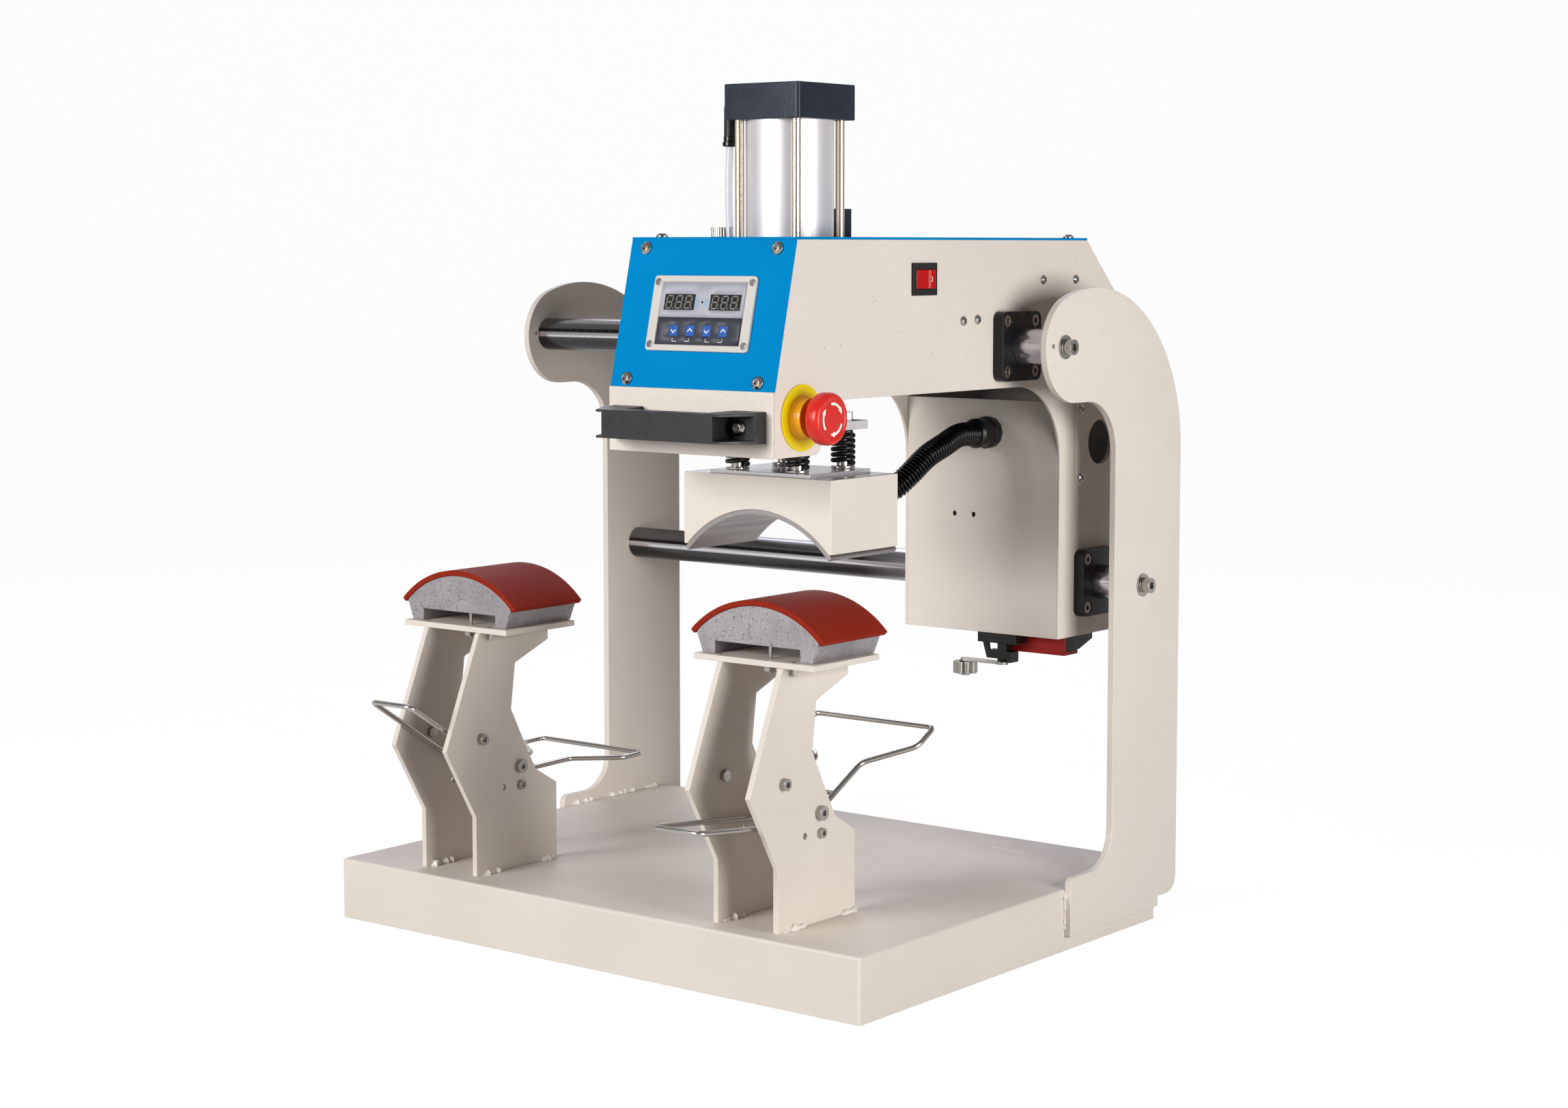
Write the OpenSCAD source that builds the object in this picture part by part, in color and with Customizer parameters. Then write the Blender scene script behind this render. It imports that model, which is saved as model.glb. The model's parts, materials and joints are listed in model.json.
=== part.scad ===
// Cap heat press. Two stations stand on a welded base, and a carriage slides
// between them on two rails. A cylinder drives a curved heating element down
// on the cap. +X is right, +Y is back and +Z is up. The origin is on the floor,
// under the middle of the machine. Inside the modules, Y counts from the base's
// front edge, and part_frame() moves it to the origin.

/* [Base] */
// Width of the base pan
base_w = 570; // [480:5:640]
// Depth of the base pan
base_d = 439; // [400:1:520]
// Height of the base pan
base_h = 53; // [40:1:80]
// Sheet thickness of the base pan
base_t = 2; // [1.5:0.5:4]
// Width of the rim that the pan stands on
base_rim = 18; // [12:1:30]

/* [Frame] */
// Thickness of a frame plate
frame_t = 6; // [4:1:10]
// Rear edge of the frame plates, from the base's front edge
frame_rear_y = 464.5; // [455:0.5:500]
// Front edge of a frame plate's column
column_front_y = 355.5; // [340:0.5:370]
// Radius of the large sweep at a frame plate's top
sweep_r = 142; // [130:1:155]
// Radius of a frame plate's head
head_r = 45; // [42:1:48]
// Radius of the throat under a frame plate's head
throat_r = 44; // [36:1:50]
// Top of a frame plate's foot
foot_top_z = 63.2; // [58:0.2:80]
// Front edge of a frame plate's foot
foot_front_y = 290; // [270:1:310]
// Radius from the foot to the column
foot_r = 32; // [20:1:45]
// Lower edge of a frame plate
frame_low_z = 13; // [6:1:20]

/* [Rails] */
// Diameter of both rails
rail_d = 30; // [20:1:32]
// Upper rail, from the base's front edge
upper_rail_y = 273.4; // [265:0.2:285]
// Upper rail's height
upper_rail_z = 510.3; // [505:0.1:516]
// Lower rail, from the base's front edge
lower_rail_y = 401.5; // [390:0.5:410]
// Lower rail's height
lower_rail_z = 301.3; // [292:0.1:310]
// Thread of the rail screws
rail_screw_d = 8; // [6:1:10]

/* [Stations] */
// Middle of the right station
right_station_x = 157.4; // [145:0.2:165]
// Distance between the two stations
station_pitch = 329; // [300:1:335]
// Gap between a station's side plates
station_gap = 56; // [50:1:64]
// Thickness of a station's side plates
station_t = 5; // [3:0.5:8]
// Top of a station's table
table_z = 268; // [262:0.5:272]
// Width of a station's table
table_w = 122; // [114:1:126]
// Depth of a station's table
table_d = 86; // [80:1:90]
// Thickness of a station's table
table_t = 4.7; // [3:0.1:8]
// Width of a platen at its foot
platen_w = 110.6; // [100:0.2:116]
// Depth of a platen
platen_d = 82; // [76:1:86]
// Height of a platen's slot
slot_h = 10.3; // [8:0.1:11]
// Width of a platen's slot
slot_w = 86; // [70:1:92]
// Outer radius of a pad
pad_r = 94.6; // [92:0.1:95.4]
// Thickness of a pad
pad_t = 4.7; // [3:0.1:6]
// Height of a pad's top over the table
pad_rise = 46.3; // [40:0.1:47]

/* [Cap levers] */
// Diameter of a lever's wire
wire_d = 4.5; // [3:0.1:5]
// Distance between a lever's two arms
arm_gap = 46; // [40:1:48]
// Diameter of a lever's hub
hub_d = 16; // [14:0.5:18]
// Diameter of a lever's pivot
pivot_d = 8; // [6:0.5:9]
// How far the right lever is drawn down
right_lever_angle = 27; // [0:1:30]

/* [Carriage] */
// Width of the carriage over its walls
carriage_w = 162; // [158:1:168]
// Sheet thickness of the carriage
sheet_t = 2.5; // [1.5:0.5:3]
// Top of the carriage
carriage_top_z = 600; // [596:1:606]
// Underside of the carriage's arm
arm_low_z = 475.5; // [472:0.5:478]
// Front of the carriage's nose
nose_front_y = -49.5; // [-60:0.5:-45]
// Rear of the carriage's nose
nose_rear_y = 11; // [6:0.5:14]
// Lower edge of the nose
nose_low_z = 434.6; // [430:0.2:440]
// Lower edge of the front panel
panel_low_z = 484.5; // [482:0.5:490]
// How far the front panel leans back
panel_lean = 27.5; // [20:0.5:34]
// Front of the carriage's rear box
box_front_y = 348; // [342:1:352]
// Lower edge of the rear box
box_low_z = 255; // [240:1:262]
// Thickness of the blue sheets
blue_t = 2; // [1:0.5:3]
// How far the carriage travels to the left station
carriage_travel = 329; // [300:1:335]

/* [Bearings] */
// Width of a bearing's square flange
flange_w = 58; // [54:1:60]
// Thickness of a bearing's flange
flange_t = 10; // [8:0.5:12]
// Length of a bearing
bearing_l = 64; // [50:1:70]
// Diameter of a bearing's barrel
bearing_d = 45; // [42:1:48]
// Distance of a flange screw from the bearing's axis
flange_screw_off = 21; // [19:0.5:22]

/* [Cylinder] */
// Cylinder's axis, from the base's front edge
cyl_y = 75.7; // [74:0.1:78]
// Width of the cylinder's caps
cyl_cap_w = 75; // [72:1:80]
// Height of each cylinder cap
cyl_cap_h = 28; // [22:1:34]
// Length of the tube between the caps
cyl_tube_h = 92; // [90:1:110]
// Outer diameter of the tube
cyl_tube_d = 70; // [68:1:71]
// Bore of the tube
cyl_bore_d = 63; // [58:1:66]
// Diameter of the tie rods
tie_rod_d = 7.2; // [5:0.2:8]
// Distance of a tie rod from the cylinder's axis, along each side
tie_rod_off = 28.3; // [27.8:0.1:30]
// Diameter of the piston rod
rod_d = 20; // [16:1:22]
// Height of the piston
piston_h = 20; // [14:1:22]
// Stroke of the press
press_travel = 66; // [55:1:67]

/* [Heater] */
// Width of the heater
heater_w = 148; // [144:1:156]
// Depth of the heater
heater_d = 88; // [84:1:94]
// Lower edge of the heater's housing
heater_low_z = 355; // [352:0.5:358]
// Top of the heater's housing
heater_top_z = 413; // [408:0.5:416]
// Inner radius of the heating element
element_r = 92.5; // [92:0.1:94]
// Thickness of the heating element
element_t = 4; // [3:0.1:5]
// Sheet thickness of the heater's housing
housing_t = 2; // [1:0.5:3]
// Distance between the heater's guide pins
pin_pitch = 60; // [56:1:64]
// Diameter of a guide pin
pin_d = 10.3; // [8:0.1:11]
// How far the springs let the heater rise
float_travel = 4; // [2:0.5:5]

/* [Springs] */
// Outer diameter of a spring
spring_d = 20; // [18:0.5:22]
// Diameter of a spring's wire
spring_wire_d = 3.2; // [2.8:0.1:3.6]
// Open turns of a spring
spring_turns = 4.5; // [2.5:0.5:4.5]

/* [Carrier] */
// Width of the carrier plate
carrier_w = 96; // [90:1:104]
// Depth of the carrier plate
carrier_d = 78; // [76:1:84]
// Lower face of the carrier plate
carrier_low_z = 448; // [446:0.5:450]
// Thickness of the carrier plate
carrier_t = 7; // [5:0.5:8]

/* [Conduit] */
// Outer diameter of the conduit's ribs
conduit_d = 21.2; // [19:0.2:23]
// Bore of the conduit
conduit_bore_d = 15; // [12:0.5:16]
// Distance between two ribs
rib_pitch = 3.1; // [2.8:0.1:4.5]

/* [Controls] */
// Width of the controller's bezel
bezel_w = 101; // [96:1:110]
// Height of the controller's bezel
bezel_h = 59; // [56:1:64]
// Thickness of the controller's bezel
bezel_t = 2.5; // [2:0.5:4]
// Width of a key
key_w = 8.6; // [8:0.1:12]
// Travel of a key
key_travel = 0.5; // [0.3:0.1:0.8]
// Diameter of the emergency stop's button
stop_d = 40; // [36:1:44]
// Diameter of the emergency stop's ring
stop_ring_d = 51; // [47:1:54]
// Height of the emergency stop over the wall
stop_h = 30; // [28:1:34]
// Travel of the emergency stop
stop_travel = 4; // [3:0.5:5]
// Length of the rocker switch's bezel
rocker_bezel_l = 33; // [30:1:36]
// Height of the rocker switch's bezel
rocker_bezel_h = 26; // [24:1:28]

/* [Handle] */
// Length of the handle
handle_l = 150; // [140:1:158]
// Height of the handle
handle_h = 24; // [20:1:28]
// Reach of the handle from the nose
handle_reach = 39; // [34:1:44]
// Height of the handle's middle
handle_z = 458; // [450:1:466]

/* [Hidden] */
$fn = 64;
fit = 0.05;
seat = 0.1;

// Derived places
frame_x = base_w / 2;
origin_y = (frame_rear_y + nose_front_y - handle_reach) / 2;
left_station_x = right_station_x - station_pitch;
station_xs = [left_station_x, right_station_x];
platen_shift = 1;
carriage_x = right_station_x + platen_shift;
wall_left_x = carriage_x - carriage_w / 2;
wall_right_x = carriage_x + carriage_w / 2;
table_low_z = table_z - table_t;
pad_centre_z = table_z + pad_rise - pad_r;
panel_tilt = atan2(panel_lean, carriage_top_z - panel_low_z);
cyl_base_z = carriage_top_z - cyl_cap_h;
cyl_top_z = carriage_top_z + cyl_tube_h;
heater_y = cyl_y + 0.8;
element_centre_z = table_z + pad_rise + press_travel + 2 - element_r;
lever_y = 73.6;
lever_z = 141.8;

module part_frame() {
  translate([0, -origin_y, 0]) children();
}

// Extrudes an outline drawn in Y and Z along X, from x0
module slab_x(x0, thickness) {
  translate([x0, 0, 0]) rotate([90, 0, 90]) linear_extrude(thickness) children();
}

// Extrudes an outline drawn in X and Z along Y, from y0
module slab_y(y0, thickness) {
  translate([0, y0 + thickness, 0]) rotate([90, 0, 0]) linear_extrude(thickness) children();
}

module rod_x(x0, x1, y, z, d) {
  translate([x0, y, z]) rotate([0, 90, 0]) cylinder(d = d, h = x1 - x0);
}

module rod_z(x, y, z0, z1, d) {
  translate([x, y, z0]) cylinder(d = d, h = z1 - z0);
}

// Socket screw with its head's seat at the origin and its shank along -Z
module socket_screw(d, head_d, head_h, shank) {
  difference() {
    union() {
      cylinder(d = head_d, h = head_h);
      if (shank > 0) translate([0, 0, -shank]) cylinder(d = d, h = shank);
    }
    translate([0, 0, head_h * 0.45]) cylinder(d = d * 0.85, h = head_h, $fn = 6);
  }
}

// Button head screw with its seat at the origin
module button_screw(d, head_d, shank) {
  head_h = head_d * 0.32;
  difference() {
    union() {
      cylinder(d = head_d, h = head_h * 0.4);
      translate([0, 0, head_h * 0.4]) cylinder(d1 = head_d, d2 = head_d * 0.6, h = head_h * 0.6);
      if (shank > 0) translate([0, 0, -shank]) cylinder(d = d, h = shank);
    }
    translate([0, 0, head_h * 0.4]) cylinder(d = d * 0.6, h = head_h, $fn = 6);
  }
}

module rounded_square(w, h, r) {
  square([w - 2 * r, h], center = true);
  square([w, h - 2 * r], center = true);
  for (x = [-1, 1], y = [-1, 1]) translate([x * (w / 2 - r), y * (h / 2 - r)]) circle(r);
}

// Base pan

base_corner_r = 3;
base_hole = [119.6, 391.9, 4.5];
base_slot = [142, 192, 389.6, 3];

module base_pan() {
  color("#ded6cb") translate([0, base_d / 2, 0]) difference() {
    linear_extrude(base_h) rounded_square(base_w, base_d, base_corner_r);
    translate([0, 0, base_t]) linear_extrude(base_h - 2 * base_t)
      rounded_square(base_w - 2 * base_t, base_d - 2 * base_t, base_corner_r - base_t / 2);
    translate([0, 0, -1]) linear_extrude(base_t + 2)
      square([base_w - 2 * base_rim, base_d - 2 * base_rim], center = true);
    translate([base_hole[0], base_hole[1] - base_d / 2, base_h - base_t - 1])
      cylinder(d = base_hole[2], h = base_t + 2);
    translate([base_slot[0], base_slot[2] - base_d / 2, base_h - base_t - 1])
      cube([base_slot[1] - base_slot[0], base_slot[3], base_t + 2]);
  }
}

// Frame plates and rails

sweep_y = frame_rear_y - sweep_r;
sweep_z = upper_rail_z - 1.8 - (sweep_r - head_r) * sin(109.3);
head_y = sweep_y + (sweep_r - head_r) * cos(109.3);
head_z = sweep_z + (sweep_r - head_r) * sin(109.3);
throat_top_z = head_z - head_r;
heel_r = 15;
heel_step_z = 21.7;
heel_step_y = 434;

module frame_outline() {
  difference() {
    union() {
      translate([head_y, head_z]) circle(head_r, $fn = 96);
      intersection() {
        translate([sweep_y, sweep_z]) circle(sweep_r, $fn = 192);
        polygon([
          [sweep_y, sweep_z],
          [sweep_y + 2 * sweep_r * cos(109.3), sweep_z + 2 * sweep_r * sin(109.3)],
          [sweep_y + 2 * sweep_r, sweep_z + 2 * sweep_r],
          [sweep_y + 2 * sweep_r, sweep_z]
        ]);
      }
      translate([head_y, throat_top_z]) square([sweep_y - head_y, head_r]);
      translate([column_front_y, heel_step_z + heel_r])
        square([frame_rear_y - column_front_y, sweep_z - heel_step_z - heel_r]);
      translate([foot_front_y, heel_step_z])
        square([frame_rear_y - heel_r - foot_front_y, foot_top_z - heel_step_z]);
      translate([foot_front_y, frame_low_z]) square([heel_step_y - foot_front_y, heel_step_z - frame_low_z]);
      translate([frame_rear_y - heel_r, heel_step_z + heel_r]) circle(heel_r);
      translate([column_front_y - foot_r, foot_top_z]) square(foot_r);
    }
    translate([column_front_y - foot_r, foot_top_z + foot_r]) circle(foot_r);
    throat_space();
    foot_corner();
  }
}

// Open space between the head, the column and the foot
module throat_space() {
  throat_y = column_front_y - throat_r;
  throat_z = throat_top_z - throat_r;
  translate([throat_y, throat_z]) circle(throat_r);
  translate([throat_y - 120, throat_z]) square([120, throat_r]);
  translate([throat_y - 120, foot_top_z + foot_r])
    square([120 + throat_r, throat_z - foot_top_z - foot_r]);
}

// Rounds the top front corner of a frame plate's foot
module foot_corner() {
  corner_r = 7;
  difference() {
    translate([foot_front_y - 1, foot_top_z - corner_r]) square([corner_r + 1, corner_r + 1]);
    translate([foot_front_y + corner_r, foot_top_z - corner_r]) circle(corner_r);
  }
}

module frame_plate(x0) {
  part_frame() color("#ded6cb") difference() {
    slab_x(x0, frame_t) frame_outline();
    for (rail = rails) {
      rod_x(x0 - 1, x0 + frame_t + 1, rail[0], rail[1], rail_screw_d + 2 * fit);
    }
    rod_x(x0 - 1, x0 + frame_t + 1, upper_rail_y - 17, upper_rail_z + 1, 4);
  }
}

rails = [[upper_rail_y, upper_rail_z], [lower_rail_y, lower_rail_z]];
rail_thread_l = 25;

module rail(place) {
  part_frame() color("silver") difference() {
    rod_x(-frame_x, frame_x, place[0], place[1], rail_d);
    for (side = [-1, 1]) {
      start = side > 0 ? frame_x - rail_thread_l : -frame_x - 1;
      rod_x(start, start + rail_thread_l + 1, place[0], place[1], rail_screw_d + 2 * fit);
    }
  }
}

module rail_screws() {
  washer_t = 1.5;
  part_frame() color("gainsboro") for (place = rails, side = [-1, 1]) {
    translate([side * (frame_x + frame_t), place[0], place[1]]) rotate([0, side * 90, 0]) {
      difference() {
        cylinder(d = 20, h = washer_t);
        translate([0, 0, -1]) cylinder(d = rail_screw_d + 2 * fit, h = washer_t + 2);
      }
      translate([0, 0, washer_t]) socket_screw(rail_screw_d, 13, 8, washer_t + frame_t + rail_thread_l - 5);
    }
  }
}

// Stations

knee = [-16, 166];
shin = [19.5, 104.7];
heel = [121, 120.5];
waist = [[94.6, 136], [82, 159], [64, 193], [69.4, 233], [111.4, 249.3]];
brow_y = 25;
station_bolt_a = [26.2, 171.9];
station_bolt_c = [74.4, 125.4];
station_hole_d = [54.5, 125.6];

module station_outline() {
  polygon(concat(
    [[brow_y, table_low_z], knee, shin, [shin[0], base_h], [heel[0], base_h], heel],
    waist, [[waist[4][0], table_low_z]]
  ));
}

module station_plates(mid) {
  part_frame() color("#ded6cb") for (side = [-1, 1]) {
    x0 = mid + (side > 0 ? station_gap / 2 : -station_gap / 2 - station_t);
    difference() {
      slab_x(x0, station_t) station_outline();
      rod_x(x0 - 1, x0 + station_t + 1, lever_y, lever_z, pivot_d + 2 * fit);
      rod_x(x0 - 1, x0 + station_t + 1, station_bolt_a[0], station_bolt_a[1], 6 + 2 * fit);
      rod_x(x0 - 1, x0 + station_t + 1, station_bolt_c[0], station_bolt_c[1], 5 + 2 * fit);
      rod_x(x0 - 1, x0 + station_t + 1, station_hole_d[0], station_hole_d[1], 5.2);
    }
  }
}

table_front_y = 27;
stud_y = 38;
stud_x = 11;
outer_stud_x = 37;
stud_d = 3;

module station_tables() {
  part_frame() color("#ded6cb") for (mid = station_xs) {
    difference() {
      translate([mid + 2 - table_w / 2, table_front_y, table_low_z]) cube([table_w, table_d, table_t]);
      rod_z(mid + stud_x, stud_y, table_low_z - 1, table_z + 1, stud_d + 2 * fit);
      for (side = [-1, 1]) rod_z(mid + side * outer_stud_x, stud_y - 3, table_low_z - 1, table_z + 1, 4 + 2 * fit);
    }
  }
}

platen_front_y = table_front_y + 6;
platen_flare_z = 15.5;
platen_flare = 6.2;

module station_platens() {
  part_frame() color("#9b9698") for (mid = station_xs) {
    translate([mid + platen_shift, 0, 0]) difference() {
      slab_y(platen_front_y, platen_d) intersection() {
        polygon([
          [-platen_w / 2, table_z],
          [platen_w / 2, table_z],
          [platen_w / 2 + platen_flare, table_z + platen_flare_z],
          [platen_w / 2 + platen_flare, table_z + pad_rise],
          [-platen_w / 2 - platen_flare, table_z + pad_rise],
          [-platen_w / 2 - platen_flare, table_z + platen_flare_z]
        ]);
        translate([0, pad_centre_z]) circle(pad_r - pad_t, $fn = 192);
      }
      translate([-slot_w / 2, platen_front_y - 1, table_z - 1]) cube([slot_w, platen_d + 2, slot_h + 1]);
    }
  }
}

pad_half_angle = 45.5;
pad_front_y = platen_front_y - 1;
pad_d = platen_d + 3;

module ring_sector(outer, inner, half_angle) {
  intersection() {
    difference() {
      circle(outer, $fn = 192);
      circle(inner, $fn = 192);
    }
    polygon([
      [0, 0],
      [-2 * outer * sin(half_angle), 2 * outer * cos(half_angle)],
      [2 * outer * sin(half_angle), 2 * outer * cos(half_angle)]
    ]);
  }
}

module station_pads() {
  part_frame() color("#b83018") for (mid = station_xs) {
    translate([mid + platen_shift, 0, pad_centre_z])
      slab_y(pad_front_y, pad_d) ring_sector(pad_r, pad_r - pad_t, pad_half_angle);
  }
}

module table_screws() {
  part_frame() color("silver") for (mid = station_xs) {
    rod_z(mid + stud_x, stud_y, table_low_z - 7, table_z + slot_h, stud_d);
    translate([mid + stud_x, stud_y, table_low_z - 5]) cylinder(d = 11, h = 5, $fn = 6);
    for (side = [-1, 1]) {
      rod_z(mid + side * outer_stud_x, stud_y - 3, table_low_z - 6.5, table_z, 4);
    }
  }
}

module station_screws() {
  part_frame() color("silver") for (mid = station_xs, side = [-1, 1]) {
    translate([mid + side * (station_gap / 2 + station_t), 0, 0]) {
      translate([0, station_bolt_a[0], station_bolt_a[1]]) rotate([0, side * 90, 0])
        socket_screw(6, 10, 5, station_t + 3);
      translate([0, station_bolt_c[0], station_bolt_c[1]]) rotate([0, side * 90, 0])
        socket_screw(5, 8.4, 4, station_t + 3);
    }
    translate([mid + side * station_gap / 2, station_bolt_a[0], station_bolt_a[1]])
      rotate([0, -side * 90, 0]) cylinder(d = 10, h = 4.5, $fn = 6);
    translate([mid + side * station_gap / 2, station_bolt_c[0], station_bolt_c[1]])
      rotate([0, -side * 90, 0]) cylinder(d = 8, h = 3.5, $fn = 6);
  }
}

module lever_pivots() {
  part_frame() color("silver") for (mid = station_xs) {
    half = station_gap / 2 + station_t;
    rod_x(mid - half, mid + half, lever_y, lever_z, pivot_d);
    for (side = [-1, 1]) translate([mid + side * half, lever_y, lever_z]) rotate([0, side * 90, 0])
      socket_screw(6, 12, 5, 0);
  }
}

// Cap levers, drawn about their pivot in the raised pose

hub_l = arm_gap + 8;
front_reach = [-121.1, 66.2];
vertex = [-7.6, -7.5];
neck = [75.2, -5.6];
flare = [104, -4.6];
rear_reach = [130.4, -3.8];
flare_half = 61.5;
cross_rod_y = 33.5;
wire_sides = 10;
wire_bend = 6;

// Corners of a lever's closed wire loop, from the middle of the front bar round its right side and back
lever_side = [
  [arm_gap / 2, front_reach[0], front_reach[1]],
  [arm_gap / 2, vertex[0], vertex[1]],
  [arm_gap / 2, neck[0], neck[1]],
  [flare_half, flare[0], flare[1]],
  [flare_half, rear_reach[0], rear_reach[1]]
];
lever_corners = concat(lever_side, [for (i = [len(lever_side) - 1 : -1 : 0])
  [-lever_side[i][0], lever_side[i][1], lever_side[i][2]]]);

function unit(v) = v / norm(v);

// Rounds each corner of a closed loop with a short curve
function round_loop(corners, reach, steps) = [
  for (i = [0 : len(corners) - 1]) let (
    here = corners[i],
    back = here + reach * unit(corners[(i + len(corners) - 1) % len(corners)] - here),
    ahead = here + reach * unit(corners[(i + 1) % len(corners)] - here)
  ) for (k = [0 : steps]) let (t = k / steps) (1 - t) * (1 - t) * back + 2 * t * (1 - t) * here + t * t * ahead
];

lever_path = round_loop(lever_corners, wire_bend, 4);
lever_normal = unit([0, 0.3, 1]);

function lever_ring(i) =
  let (
    count = len(lever_path),
    along_wire = unit(lever_path[(i + 1) % count] - lever_path[(i + count - 1) % count]),
    across = unit(cross(along_wire, lever_normal)),
    over = cross(across, along_wire)
  ) [for (k = [0 : wire_sides - 1]) lever_path[i]
    + wire_d / 2 * (cos(k * 360 / wire_sides) * across + sin(k * 360 / wire_sides) * over)];

module cap_lever(mid, angle) {
  part_frame() color("silver") translate([mid, lever_y, lever_z]) rotate([angle, 0, 0]) difference() {
    union() {
      rod_x(-hub_l / 2, hub_l / 2, 0, 0, hub_d);
      polyhedron(
        points = [for (i = [0 : len(lever_path) - 1]) each lever_ring(i)],
        faces = ring_skin(len(lever_path), wire_sides)
      );
      rod_x(-arm_gap / 2, arm_gap / 2, cross_rod_y, vertex[1] + 0.8, wire_d - 0.4);
    }
    rod_x(-hub_l / 2 - 1, hub_l / 2 + 1, 0, 0, pivot_d + 2 * fit);
  }
}

// Carriage walls

wall_front_y = nose_front_y + sheet_t;
panel_top_y = nose_front_y + 1.5 + panel_lean;
cover_rear_y = 389.6;
slope_low = [462, 529];
nose_r = 8;
nose_throat_r = 32;
box_throat_r = 64;

// Front panel's outer face at a height
function panel_y(z) = nose_front_y + 1.5 + (z - panel_low_z) * tan(panel_tilt);

wall_top_z = carriage_top_z - blue_t;

module wall_outline() {
  shift = blue_t / cos(panel_tilt);
  polygon([
    [wall_front_y, nose_low_z],
    [nose_rear_y - nose_r, nose_low_z],
    [nose_rear_y, nose_low_z + nose_r],
    [nose_rear_y, arm_low_z - nose_throat_r],
    [nose_rear_y, arm_low_z],
    [box_front_y, arm_low_z],
    [box_front_y, box_low_z],
    [slope_low[0], box_low_z],
    slope_low,
    [cover_rear_y, wall_top_z],
    [panel_y(wall_top_z) + shift, wall_top_z],
    [panel_y(panel_low_z) + shift, panel_low_z],
    [wall_front_y, panel_low_z]
  ]);
  throat_fill([nose_rear_y, arm_low_z], 1, nose_throat_r);
  throat_fill([box_front_y, arm_low_z], -1, box_throat_r);
  translate([nose_rear_y - nose_r, nose_low_z + nose_r]) circle(nose_r);
}

// Fills the inner corner under the arm up to a fillet
module throat_fill(place, side, r) {
  difference() {
    translate([side > 0 ? place[0] : place[0] - r, place[1] - r]) square(r);
    translate([place[0] + side * r, place[1] - r]) circle(r);
  }
}

access_hole = [411.5, 422.7, 39];
stop_place = [-14, 464];
rocker_place = [144.5, carriage_top_z - 33.2];

module wall(x0, right) {
  part_frame() color("#ded6cb") difference() {
    slab_x(x0, sheet_t) wall_outline();
    for (place = rails) rod_x(x0 - 1, x0 + sheet_t + 1, place[0], place[1], bearing_d);
    rod_x(x0 - 1, x0 + sheet_t + 1, access_hole[0], access_hole[1], access_hole[2]);
    if (right) {
      rod_x(x0 - 1, x0 + sheet_t + 1, stop_place[0], stop_place[1], stop_thread_d);
      translate([x0 - 1, rocker_place[0] - rocker_body_l / 2, rocker_place[1] - rocker_body_h / 2])
        cube([sheet_t + 2, rocker_body_l, rocker_body_h]);
    }
  }
}

inner_x0 = wall_left_x + sheet_t;
inner_w = carriage_w - 2 * sheet_t;

module nose_shell() {
  part_frame() color("#ded6cb") {
    difference() {
      translate([wall_left_x, nose_front_y, nose_low_z]) cube([carriage_w, sheet_t, panel_low_z - nose_low_z]);
      for (side = [-1, 1]) translate([carriage_x + side * handle_screw_x, nose_front_y - 1, handle_z])
        rotate([-90, 0, 0]) cylinder(d = 6 + 2 * fit, h = sheet_t + 2);
    }
    translate([inner_x0, 0, 0]) slab_x(0, inner_w) difference() {
      union() {
        translate([wall_front_y, nose_low_z]) square([nose_rear_y - nose_r - wall_front_y, 2 * nose_r]);
        translate([wall_front_y, nose_low_z + nose_r])
          square([nose_rear_y - wall_front_y, arm_low_z - nose_low_z - nose_r]);
        translate([nose_rear_y - nose_r, nose_low_z + nose_r]) circle(nose_r);
      }
      translate([wall_front_y - 1, nose_low_z + sheet_t])
        square([nose_rear_y - nose_r - wall_front_y + 1, nose_r]);
      translate([wall_front_y - 1, nose_low_z + nose_r])
        square([nose_rear_y - sheet_t - wall_front_y + 1, arm_low_z]);
      translate([nose_rear_y - nose_r, nose_low_z + nose_r]) circle(nose_r - sheet_t);
    }
  }
}

// Places children on the front panel, with Z out of the panel and Y up along it
module on_panel(x, z) {
  translate([x, panel_y(z), z]) rotate([90 - panel_tilt, 0, 0]) children();
}

bezel_x = carriage_x + 1;
bezel_drop = 0.964;
bezel_z = (panel_low_z + carriage_top_z) / 2 - bezel_drop * cos(panel_tilt);
bezel_body = [88, 50, 40];
panel_screw_x = 65;
panel_screw_zs = [panel_low_z + 6.3, carriage_top_z - 8.6];

module front_panel() {
  length = (carriage_top_z - panel_low_z) / cos(panel_tilt);
  part_frame() color("#0089cc") difference() {
    slab_x(wall_left_x, carriage_w) polygon([
      [panel_y(panel_low_z), panel_low_z],
      [panel_y(carriage_top_z - blue_t), carriage_top_z - blue_t],
      [panel_y(carriage_top_z - blue_t) + blue_t / cos(panel_tilt), carriage_top_z - blue_t],
      [panel_y(panel_low_z) + blue_t / cos(panel_tilt), panel_low_z]
    ]);
    on_panel(bezel_x, bezel_z) cube([bezel_body[0] + 1, bezel_body[1] + 1, 4 * blue_t], center = true);
    for (side = [-1, 1], z = panel_screw_zs) on_panel(carriage_x + side * panel_screw_x, z)
      cylinder(d = 6 + 2 * fit, h = 4 * blue_t, center = true);
  }
}

cover_front_y = panel_y(carriage_top_z - blue_t);

module top_cover() {
  part_frame() color("#0089cc") difference() {
    translate([wall_left_x, cover_front_y, wall_top_z])
      cube([carriage_w, cover_rear_y - cover_front_y, blue_t]);
    translate([carriage_x - cyl_cap_w / 2 - seat, cyl_y - cyl_cap_w / 2 - seat, wall_top_z - 1])
      cube([cyl_cap_w + 2 * seat, cyl_cap_w + 2 * seat, blue_t + 2]);
    rod_z(air_x, air_y, wall_top_z - 1, carriage_top_z + 1, air_tube_d + 1);
    rod_z(knob_x, knob_y, wall_top_z - 1, carriage_top_z + 1, knob_stem_d + 1);
  }
}

mount_t = 12;

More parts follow.
